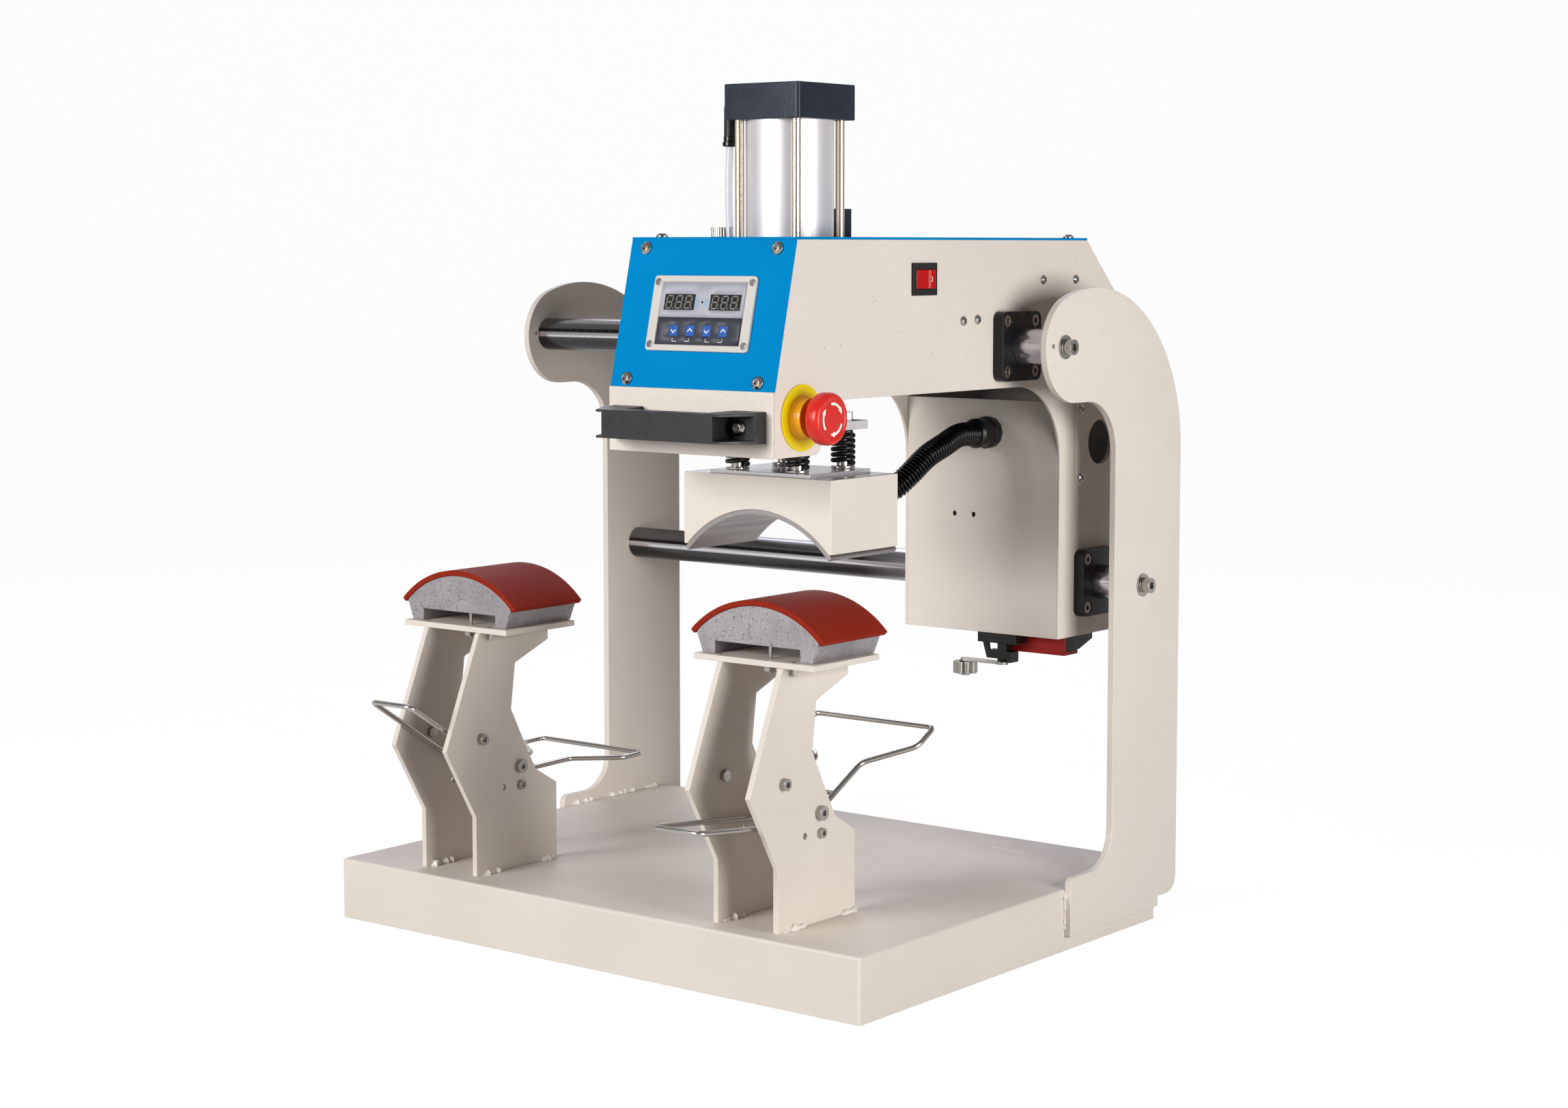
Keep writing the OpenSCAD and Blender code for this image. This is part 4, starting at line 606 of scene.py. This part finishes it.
# %% The folded rim of the pan
FOLD_REACH = 0.0032
pan = dressed("base_pan", cream, 0.5)
corner = np.zeros(len(pan.data.vertices) * 3)
pan.data.vertices.foreach_get("co", corner)
corner = corner.reshape(-1, 3)
ends = np.zeros(len(pan.data.edges) * 2, int)
pan.data.edges.foreach_get("vertices", ends)
near_side = (corner > corner.max(0) - FOLD_REACH) | (corner < corner.min(0) + FOLD_REACH)
on_rim = near_side[:, :2].any(axis=1) & (corner[:, 2] > corner[:, 2].max() - 1e-5)
folded = on_rim[ends[::2]] & on_rim[ends[1::2]]
weight = pan.data.attributes.new("bevel_weight_edge", "FLOAT", "EDGE")
weight.data.foreach_set("value", folded.astype(float))
folds = pan.modifiers.new("folds", "BEVEL")
folds.width = 0.0026
folds.segments = 5
folds.limit_method = "WEIGHT"
folds.use_clamp_overlap = False
folds.harden_normals = True
pan.modifiers.move(1, 0)
print("folded edges of the pan:", int(folded.sum()))


# %% [markdown]
# ## Silicone pads
# Each pad is a sheet of silicone glued on the curved top. It is cut with a knife, so its edges
# are crisp but soft, and it stands a little over the metal at the ends. The solid has the right curve, so
# the copy only gets softer edges and a rubber finish.

# %% Silicone pads
dressed("station_pads", pad_rubber, 0.9, steps=4, name="silicone_pads")
print("pads dressed")


# %% [markdown]
# ## The ribbed conduit
# The heater moves, so its wires run in a corrugated nylon conduit. Such a hose is a row of identical rings
# with thin valleys between them. It is drawn as one tube whose radius is a wave along its length, the size of
# a sine, which has round crests and sharp valleys. The hose leaves the gland straight, falls in a loose curve
# under its own weight and ends in the heater's gland.

# %% The ribbed conduit
hose_route = [
    (167, 321.9, 431.4), (167, 300, 430.8), (166, 279, 423.5), (163, 259, 415), (157, 241, 400),
    (150, 228, 389), (139, 211, 384), (123, 190, 384), (104.4, 162.5, 388), (104.4, 140.6, 388),
]
RIB_PITCH = 0.0031
VALLEY_RADIUS = 0.0083
RIB_HEIGHT = 0.0020
POINTS_PER_RIB = 12
hose_line = smooth_line(spot(hose_route), 68 * POINTS_PER_RIB + 1)
hose_length = length_of(hose_line)
run = np.linspace(0, hose_length, len(hose_line))
crest = np.abs(np.sin(math.pi * run / RIB_PITCH))
points, faces = closed_tube(carried(hose_line, VALLEY_RADIUS + RIB_HEIGHT * crest, 48, (1, 0, 0)))
conduit = make_piece("ribbed_conduit", points, faces, None, hose_nylon, "black_nylon", 60)
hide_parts("conduit")
spot([167, 308, 431])
spot([104.4, 156, 388])
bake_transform(conduit)
print("conduit:", round(hose_length, 3), "m,", int(hose_length / RIB_PITCH), "ribs")


# %% [markdown]
# ## The air hose
# A clear hose brings air to the cylinder's top. It goes up out of the blue cover and pushes into an
# elbow, and because it is a little longer than the way it has to go, it bows out to the side.
# A swept circle along a slightly bowed line is all it takes, with a collar where the elbow grips it.

# %% The air hose
air_route = [(108, 63, 578), (107.7, 63, 600), (106.8, 62.9, 622), (106.6, 62.9, 645), (107.3, 63, 665),
             (108, 63, 680.5)]
air_line = smooth_line(spot(air_route), 60)
points, faces = closed_tube(carried(air_line, 0.003, 24, (0, 1, 0)))
air_hose = make_piece("air_hose", points, faces, "carriage", hose_clear, "clear_hose")
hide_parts("air_tube")
grip_profile = [(0.0031, 0), (0.0056, 0), (0.0062, 0.0008), (0.0062, 0.0035), (0.0054, 0.0042),
                (0.0054, 0.008), (0.0031, 0.008)]
grip = turned(grip_profile, spot([108, 63, 672]), (0, 0, 1), 48)
make_piece("hose_grip", grip, grid_faces(*grip.shape[:2], ring_rows=True, ring_columns=True), "carriage",
           hose_nylon, "black_nylon", 35)
print("air hose:", round(length_of(air_line), 3), "m")


# %% [markdown]
# ## Coil springs
# Four springs press the heater down evenly. A coil spring is a circle carried along a helix. Its end turns
# lie almost flat so that it stands square, and the turns between them rise evenly. Its top sits on the
# carrier and its foot on the heater.

# %% Coil springs
def spring_line(x, y, low, high, coil, wire, turns=6.0, flat=0.75, steps=240):
    """Helix: the angle runs evenly, and the height rises slowly over the flat turns and fast between them."""
    t = np.linspace(0, turns, steps)
    slow = wire + 0.2
    fast = (high - low - 2 * slow * flat) / (turns - 2 * flat)
    z = low + slow * np.minimum(t, flat) + fast * np.clip(t - flat, 0, turns - 2 * flat)
    z = z + slow * np.maximum(t - turns + flat, 0)
    a = 2 * math.pi * t
    return spot(np.stack([x + coil * np.cos(a), y + coil * np.sin(a), z], 1))


SPRING_WIRE = 3.9
coils = []
for x in (HEAD_X - 30, HEAD_X + 30):
    for y in (46.5, 106.5):
        line = spring_line(x, y, 420.0, 446.0, 8.1, SPRING_WIRE)
        coils.append(closed_tube(carried(line, SPRING_WIRE / 2000, 14, (0, 0, 1))))
springs = make_piece("coil_springs", *joined(coils), None, black_oxide, "black_steel", 60)
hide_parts("heater_springs")
spot([HEAD_X, 76.5, 448])
spot([HEAD_X, 76.5, 418])
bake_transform(springs)
print("springs:", len(coils))


# %% [markdown]
# ## The emergency stop
# The stop is a red mushroom on a yellow collar over a yellow ring. These are turned shapes, so
# each is a profile of radius and height carried round the axis. Three raised white arrows show which
# way it is twisted to let it out. The ring's words are left off.

# %% The emergency stop
STOP_Y = -14
STOP_Z = 464
stop_middle = on_wall([0, 0, 0], STOP_Y, STOP_Z)


def stop_turned(name, profile_mm, body, finish, slot, sides=128, crease=35):
    """Turned piece of the stop; a profile that doesn't reach the axis comes back round to its start."""
    profile = np.array(profile_mm) / 1000
    points = turned(profile, stop_middle, (1, 0, 0), sides)
    whole = profile[0, 0] > 0 and profile[-1, 0] > 0
    faces = grid_faces(*points.shape[:2], ring_rows=whole, ring_columns=True)
    return make_piece(name, points, faces, body, finish, slot, crease)


stop_ring = stop_turned("stop_ring", [(10.9, 0), (25.1, 0), (25.5, 0.4), (25.3, 0.9), (24.9, 1.0), (17, 1.0),
                                      (10.9, 1.0)], "carriage", ring_yellow, "stop_yellow")
collar = stop_turned("stop_collar", [(7.1, -30), (11, -30), (11, 1.0), (17.2, 1.0), (17.2, 2.2), (16.4, 3.2),
                                     (15.6, 4.4), (15.3, 6), (15.5, 9.3), (15.1, 10), (12.6, 10), (12.2, 9.4),
                                     (7.1, 9.4)], "carriage", collar_yellow, "stop_yellow")
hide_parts("stop_base")
mushroom = stop_turned("stop_mushroom", [
    (0, 20), (3.1, 20), (3.1, 17.2), (9, 17.2), (17.6, 17.5), (18.9, 18.1), (19.6, 19.1), (19.95, 20.6),
    (20, 22.4), (20, 25.6), (19.8, 27.3), (19.2, 28.6), (18.2, 29.5), (16.9, 30), (15.8, 29.9), (15.0, 29.5),
    (14.2, 29.2), (12, 29.3), (8, 29.5), (4, 29.6), (0, 29.6)], "stop_button", stop_red, "stop_red", 160, 60)
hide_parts("stop_button")


def arc_arrow(start, sweep, radius, width, head, lift, thick):
    """Curved arrow on the button's face: a band of a circle that ends in a wider point."""
    t = np.array([0, 0.1, 0.2, 0.3, 0.4, 0.5, 0.6, 0.7, 0.7, 0.78, 0.86, 0.93, 1.0])
    half = np.array([1, 1, 1, 1, 1, 1, 1, 1, head, head * 0.75, head * 0.5, head * 0.26, 0.02]) * width / 2
    a = math.radians(start) + math.radians(sweep) * t
    r = radius + np.stack([-half, half], 1)
    flat = np.stack([r * np.cos(a)[:, None], r * np.sin(a)[:, None]], -1)
    low = np.concatenate([flat, np.full((*flat.shape[:2], 1), lift)], -1)
    high = np.concatenate([flat, np.full((*flat.shape[:2], 1), lift + thick)], -1)
    ring = np.stack([low[:, 0], low[:, 1], high[:, 1], high[:, 0]], 1)
    return on_wall(ring, STOP_Y, STOP_Z)


arrows = [closed_tube(arc_arrow(start, -84, 11.6, 2.0, 2.1, 29.1, 0.5)) for start in (100, 220, 340)]
make_piece("stop_arrows", *joined(arrows), "stop_button", white_ink, "stop_red", 30)
print("emergency stop: ring, collar, button and", len(arrows), "arrows")


# %% [markdown]
# ## The controller's face
# Behind a plastic frame lies a printed foil: silver above, dark below, with two windows for the
# digits and four blue keys. The foil is one thin sheet with holes. It is cut from a grid whose lines run
# along every edge of a hole, and the cells inside a hole are left out, so the keys can sink in.
# The digits are unlit, with all seven bars of each showing grey.

# %% The foil with its holes
KEY_X = (-24.6, -8.2, 8.2, 24.6)
KEY_Y = -13.6
WINDOW_X = 22.6
WINDOW_Y = 8.8
holes = [(x - 4.5, x + 4.5, KEY_Y - 4.5, KEY_Y + 4.5) for x in KEY_X]
holes += [(side * WINDOW_X - 15.25, side * WINDOW_X + 15.25, 2.6, 15.0) for side in (-1, 1)]


def foil(name, box, finish, level=1.93, thick=0.05):
    """Thin sheet inside box = (left, right, low, high) with every hole left out of its grid."""
    left, right, low, high = box
    xs = np.unique([left, right] + [v for h in holes for v in h[:2] if left < v < right])
    ys = np.unique([low, high] + [v for h in holes for v in h[2:] if low < v < high])
    xx, yy = np.meshgrid(xs, ys, indexing="ij")
    points = on_panel(np.stack([xx, yy, np.full(xx.shape, level)], -1))
    faces = grid_faces(len(xs), len(ys))
    mid_x = ((xs[:-1] + xs[1:]) / 2)[:, None] + 0 * ys[:-1]
    mid_y = 0 * xs[:-1, None] + ((ys[:-1] + ys[1:]) / 2)
    inside = np.any([(mid_x > h[0]) & (mid_x < h[1]) & (mid_y > h[2]) & (mid_y < h[3])
                     for h in holes], axis=0)
    sheet = make_piece(name, points, faces[~inside.ravel()], "carriage", finish, "bezel_plastic")
    thicken = sheet.modifiers.new("foil_thickness", "SOLIDIFY")
    thicken.thickness = thick / 1000
    thicken.offset = 0


foil("foil_silver", (-41.8, 41.8, -3.1, 24.6), label_silver)
foil("foil_dark", (-41.8, 41.8, -24.6, -3.1), label_dark)
print("foil cut around", len(holes), "holes")


# %% Digits, marks and key signs
def printed(name, outlines, placer, body, finish, slot, level, thick=0.06):
    """Flat marks: each outline of (right, up) corners becomes a thin prism that stands on its surface."""
    all_points = []
    all_faces = []
    count = 0
    for outline in outlines:
        flat = np.array(outline, float)
        n = len(flat)
        low = np.concatenate([flat, np.full((n, 1), level)], 1)
        high = np.concatenate([flat, np.full((n, 1), level + thick)], 1)
        all_points.append(np.concatenate([placer(low), placer(high)]))
        ring = np.arange(n)
        after = (ring + 1) % n
        all_faces += [list(count + ring), list(count + n + ring)]
        all_faces += (count + np.stack([ring, after, after + n, ring + n], 1)).tolist()
        count += 2 * n
    return make_piece(name, np.concatenate(all_points), all_faces, body, finish, slot, 30)


def bar(a, b, width):
    """Six-cornered bar of a digit between two points: straight sides with pointed ends."""
    a, b = np.array(a, float), np.array(b, float)
    d = unit(b - a)
    n = np.array([-d[1], d[0]])
    h = width / 2
    return [a, a + h * (d + n), b + h * (n - d), b, b - h * (n + d), a + h * (d - n)]


def digit(x, y, w=5.6, h=9.6, width=1.0, lean=0.12):
    """Seven bars and a point, leaning to the right, around a middle."""
    rows = (h / 2, 0, -h / 2)
    bars = [bar((-w / 2 + 0.3, r), (w / 2 - 0.3, r), width) for r in rows]
    for side in (-w / 2, w / 2):
        bars.append(bar((side, -h / 2 + 0.35), (side, -0.35), width))
        bars.append(bar((side, 0.35), (side, h / 2 - 0.35), width))
    a = np.linspace(0, 2 * math.pi, 12, endpoint=False)
    bars.append(np.stack([w / 2 + 1.75 + 0.55 * np.cos(a), -h / 2 + 0.1 + 0.55 * np.sin(a)], 1))
    return [np.array(b) + [x, y] + np.outer(np.array(b)[:, 1], [lean, 0]) for b in bars]


digit_bars = [b for side in (-1, 1) for k in (-1, 0, 1)
              for b in digit(side * WINDOW_X - 0.8 + 9.4 * k, WINDOW_Y)]
printed("unlit_digits", digit_bars, on_panel, "carriage", digit_grey, "dark_window", 2.0, 0.04)

circle = np.linspace(0, 2 * math.pi, 24, endpoint=False)
printed("lamp_dot", [np.stack([np.cos(circle), WINDOW_Y + np.sin(circle)], 1)], on_panel, "carriage",
        window_black, "dark_window", 1.95)


def arc_band(radius, middle, width, sign):
    """Short curved stroke beside the lamp."""
    a = np.linspace(-0.75, 0.75, 9)
    inner = np.stack([sign * (radius - width / 2) * np.cos(a), (radius - width / 2) * np.sin(a)], 1)
    outer = np.stack([sign * (radius + width / 2) * np.cos(a), (radius + width / 2) * np.sin(a)], 1)
    return np.concatenate([inner, outer[::-1]]) + middle


waves = [arc_band(r, (0, WINDOW_Y), 0.55, s) for s in (-1, 1) for r in (3.2, 4.5, 5.8)]
printed("lamp_waves", waves, on_panel, "carriage", ink_blue, "bezel_plastic", 1.95)


def stroke(a, b, width):
    """Straight stroke of ink between two points."""
    a, b = np.array(a, float), np.array(b, float)
    d = unit(b - a)
    n = np.array([-d[1], d[0]]) * width / 2
    return [a + n, a - n, b - n, b + n]


brackets = []
for left, right in ((KEY_X[0], KEY_X[1]), (KEY_X[2], KEY_X[3])):
    brackets += [stroke((left, -19.6), (left, -22.0), 0.4), stroke((right, -19.6), (right, -22.0), 0.4)]
    brackets += [stroke((left - 0.2, -22.0), (left + 4.2, -22.0), 0.4),
                 stroke((right + 0.2, -22.0), (right - 4.2, -22.0), 0.4)]
printed("key_brackets", brackets, on_panel, "carriage", white_ink, "bezel_plastic", 1.95)

for number, x in enumerate(KEY_X):
    up = 1 if number % 2 else -1
    tip = np.array([x, KEY_Y + 1.9 * up])
    legs = [stroke(tip + [0, -0.1 * up], tip + [-2.3, -2.6 * up], 0.8),
            stroke(tip + [0, -0.1 * up], tip + [2.3, -2.6 * up], 0.8)]
    printed(f"key_sign_{number + 1}", legs, on_panel, f"key_{number + 1}", white_ink, "key_blue", 2.1, 0.05)
print("digit bars:", len(digit_bars), "bracket strokes:", len(brackets))


# %% [markdown]
# ## Weld beads
# The stands and the uprights are welded to the pan before painting, in short runs. A fillet weld
# fills the corner between two plates with a lumpy, rippled quarter round. The bead is that quarter
# carried along a line, its size rising and falling as the welder's hand moved. Two sine waves and a
# fixed series of random numbers make each bead different, and every run of the script the same.

# %% Weld beads
rng = np.random.default_rng(7)
weld_coat = powder_coat("weld_coat", (0.93, 0.90, 0.87), (0.88, 0.85, 0.82), 0.34, 0.0003, 0.5)


def fillet_bead(start, end, side, up, size):
    """Quarter-round bead in the corner between two plates, from start to end, all in millimetres.
    Its radius is size times a slow wave, a ripple every 2 mm and a little chance, drawn in at both ends."""
    start, end = np.array(start, float), np.array(end, float)
    length = np.linalg.norm(end - start)
    count = max(24, int(length / 0.45))
    t = np.linspace(0, 1, count)
    s = t * length
    knots = max(4, int(length / 2.8))
    lumps = np.interp(s, np.linspace(0, length, knots), rng.uniform(0.15, 1.35, knots))
    ends = np.clip(np.minimum(s, length - s) / 2.2, 0, 1) ** 0.6
    r = size * lumps * (1 + 0.14 * np.sin(2 * math.pi * s / 2.1)) * (0.15 + 0.85 * ends)
    a = np.linspace(0, math.pi / 2, 8)
    bulge = 1 + 0.18 * np.sin(2 * a)
    quarter = np.cos(a)[:, None] * np.array(side, float) + np.sin(a)[:, None] * np.array(up, float)
    arc = r[:, None, None] * bulge[None, :, None] * quarter[None]
    corner = np.broadcast_to(-0.35 * (np.array(side, float) + np.array(up, float)), (count, 1, 3))
    rings = start + t[:, None, None] * (end - start) + np.concatenate([corner, arc], 1)
    return spot(rings)


def weld(name, runs):
    """Several beads joined into one piece on the frame."""
    beads = [closed_tube(fillet_bead(*run_of)) for run_of in runs]
    make_piece(name, *joined(beads), "frame", weld_coat, "cream_paint", 70)


PAN_TOP = 53.0
stand_runs = []
for middle in (-171.6, 157.4):
    for face, side in ((middle - 28, 1), (middle - 33, -1), (middle + 33, 1), (middle + 28, -1)):
        for y0, y1, size in ((25, 52, 3.6), (101, 121, 3.6)):
            stand_runs.append(((face, y0, PAN_TOP), (face, y1, PAN_TOP), (side, 0, 0), (0, 0, 1), size))
weld("stand_welds", stand_runs)

upright_runs = []
for side in (-1, 1):
    face = side * 285
    for y0, y1, size in ((300, 330, 3.0), (355, 392, 3.0), (410, 430, 2.6)):
        upright_runs.append(((face, y0, PAN_TOP), (face, y1, PAN_TOP), (-side, 0, 0), (0, 0, 1), size))
    upright_runs.append(((face, 290, 49.5), (face, 290, 18.5), (side, 0, 0), (0, -1, 0), 2.6))
    upright_runs.append(((face, 292, 13), (face, 428, 13), (side, 0, 0), (0, 0, -1), 1.6))
weld("upright_welds", upright_runs)
print("beads:", len(stand_runs) + len(upright_runs))


# %% [markdown]
# ## Signs and a painted highlight on the rocker
# The red rocker is a glossy cap. Its rear half leans towards the light, and the pale band it shows there is a
# painted highlight; it also carries a moulded ring. Small raised marks are enough.

# %% Signs and a painted highlight on the rocker
ROCKER_Y = 144.5
ROCKER_Z = 566.8
LEAN = 9.8


def on_rocker(points, y, tilt_deg, depth):
    """Points (to the back, up, out) on one half of the rocker's face, which leans by a few degrees."""
    p = np.array(points, float)
    a = math.radians(tilt_deg)
    back = p[..., 0] * math.cos(a) - p[..., 2] * math.sin(a)
    out = p[..., 0] * math.sin(a) + p[..., 2] * math.cos(a) + depth
    return on_wall(np.stack([back, p[..., 1], out], -1), y, ROCKER_Z)


ring_out = np.stack([1.5 * np.cos(circle), 2.2 * np.sin(circle)], 1)
ring_in = np.stack([1.0 * np.cos(circle), 1.6 * np.sin(circle)], 1)
ring_quads = [[ring_out[k], ring_out[(k + 1) % 24], ring_in[(k + 1) % 24], ring_in[k]] for k in range(24)]
printed("rocker_ring", ring_quads, lambda p: on_rocker(p, ROCKER_Y + 5.5, LEAN, 3.95), "rocker", white_ink,
        "rocker_red", 0.0, 0.08)
# A pale band on the rocker's rear half: a painted highlight where it leans towards the light.
printed("rocker_painted_highlight", [[(2.4, -7.2), (5.2, -7.2), (5.2, 7.2), (2.4, 7.2)]],
        lambda p: on_rocker(p, ROCKER_Y, LEAN, 3.0), "rocker", rocker_highlight_paint, "rocker_red", 0.0, 0.08)
print("rocker signs done")


# %% [markdown]
# ## Floor, backdrop and light
# The photograph was cut out on white. Here a pale sweep stands in for the studio: a floor that
# curves up behind. The camera sees it as nearly white, while it still takes a trace of the machine's
# shadow. Shiny surfaces see the sky much darker than the camera does, because a real studio is dark outside
# its lamps, and that keeps blacks deep and metals full of contrast. A wide soft lamp in front lights the
# faces that look forward, a nearer one on the right lights the right-hand plates and fades towards the left,
# and a weak cool one behind lights the top of the base.

# %% Floor and backdrop
sweep_y = np.concatenate([[-7.0, 3.0], 3.0 + 2.0 * np.sin(np.linspace(0.1, math.pi / 2, 16)), [5.0]])
sweep_z = np.concatenate([[0, 0], 2.0 - 2.0 * np.cos(np.linspace(0.1, math.pi / 2, 16)), [9.0]])
sweep_x = np.array([-9.0, 9.0])
grid = np.stack([np.broadcast_to(sweep_x[:, None], (2, len(sweep_y))),
                 np.broadcast_to(sweep_y, (2, len(sweep_y))),
                 np.broadcast_to(sweep_z, (2, len(sweep_y)))], -1)
floor_mesh = bpy.data.meshes.new("floor")
floor_mesh.from_pydata(grid.reshape(-1, 3), [], grid_faces(2, len(sweep_y)).tolist())
floor_mesh.polygons.foreach_set("use_smooth", np.ones(len(floor_mesh.polygons), bool))
floor = bpy.data.objects.new("floor", floor_mesh)
bpy.context.scene.collection.objects.link(floor)
floor.rotation_euler = (0, 0, turn)


def seen_directly(tree, mirrored):
    """1 for rays of the camera or through clear plastic, mirrored for rays of shiny surfaces, else 0."""
    path = tree.nodes.new("ShaderNodeLightPath")
    dimmed = tree.nodes.new("ShaderNodeMath")
    dimmed.operation = "MULTIPLY"
    dimmed.inputs[1].default_value = mirrored
    first = tree.nodes.new("ShaderNodeMath")
    first.operation = "MAXIMUM"
    both = tree.nodes.new("ShaderNodeMath")
    both.operation = "MAXIMUM"
    tree.links.new(path.outputs["Is Glossy Ray"], dimmed.inputs[0])
    tree.links.new(path.outputs["Is Camera Ray"], first.inputs[0])
    tree.links.new(dimmed.outputs[0], first.inputs[1])
    tree.links.new(first.outputs[0], both.inputs[0])
    tree.links.new(path.outputs["Is Transmission Ray"], both.inputs[1])
    return both.outputs[0]


floor_paint = bpy.data.materials.new("pale_floor")
floor_paint.use_nodes = True
tree = floor_paint.node_tree
tree.nodes.clear()
end = tree.nodes.new("ShaderNodeOutputMaterial")
paint = tree.nodes.new("ShaderNodeBsdfDiffuse")
paint.inputs["Color"].default_value = linear((0.6, 0.6, 0.6))
glow = tree.nodes.new("ShaderNodeEmission")
glow.inputs["Color"].default_value = (1, 1, 1, 1)
glow.inputs["Strength"].default_value = 1.2
share = tree.nodes.new("ShaderNodeMath")
share.operation = "MULTIPLY"
share.inputs[1].default_value = 0.8
blend_in = tree.nodes.new("ShaderNodeMixShader")
tree.links.new(seen_directly(tree, 0.85), share.inputs[0])
tree.links.new(share.outputs[0], blend_in.inputs[0])
tree.links.new(paint.outputs[0], blend_in.inputs[1])
tree.links.new(glow.outputs[0], blend_in.inputs[2])
tree.links.new(blend_in.outputs[0], end.inputs[0])
floor_mesh.materials.append(floor_paint)

world = bpy.data.worlds.new("studio")
bpy.context.scene.world = world
world.use_nodes = True
tree = world.node_tree
tree.nodes.clear()
end = tree.nodes.new("ShaderNodeOutputWorld")
sky = tree.nodes.new("ShaderNodeBackground")
sky.inputs["Color"].default_value = (1, 1, 1, 1)
strength = tree.nodes.new("ShaderNodeMapRange")
strength.inputs["To Min"].default_value = 0.032
strength.inputs["To Max"].default_value = 1.0
tree.links.new(seen_directly(tree, 0.265), strength.inputs["Value"])
tree.links.new(strength.outputs[0], sky.inputs["Strength"])
tree.links.new(sky.outputs[0], end.inputs[0])
print("floor and backdrop are ready")


# %% Lamps
def softbox(name, place, target, width, height, watts, colour=(1, 1, 1)):
    """Square lamp at a place in metres, facing a target."""
    lamp = bpy.data.lights.new(name, "AREA")
    lamp.shape = "RECTANGLE"
    lamp.size = width
    lamp.size_y = height
    lamp.energy = watts
    lamp.color = colour
    obj = bpy.data.objects.new(name, lamp)
    obj.location = place
    obj.rotation_mode = "QUATERNION"
    obj.rotation_quaternion = (Vector(target) - Vector(place)).to_track_quat("-Z", "Y")
    bpy.context.scene.collection.objects.link(obj)


softbox("front_lamp", (-0.5, -2.95, 1.2), (0, 0, 0.35), 1.5, 1.3, 92)
softbox("right_lamp", (1.75, -0.2, 0.5), (0.15, 0, 0.4), 0.8, 0.8, 22.5)
softbox("back_lamp", (-1.0, 1.4, 1.9), (0, 0, 0), 1.2, 1.2, 20, (0.80, 0.82, 1.0))
bpy.context.scene.view_settings.view_transform = "Standard"
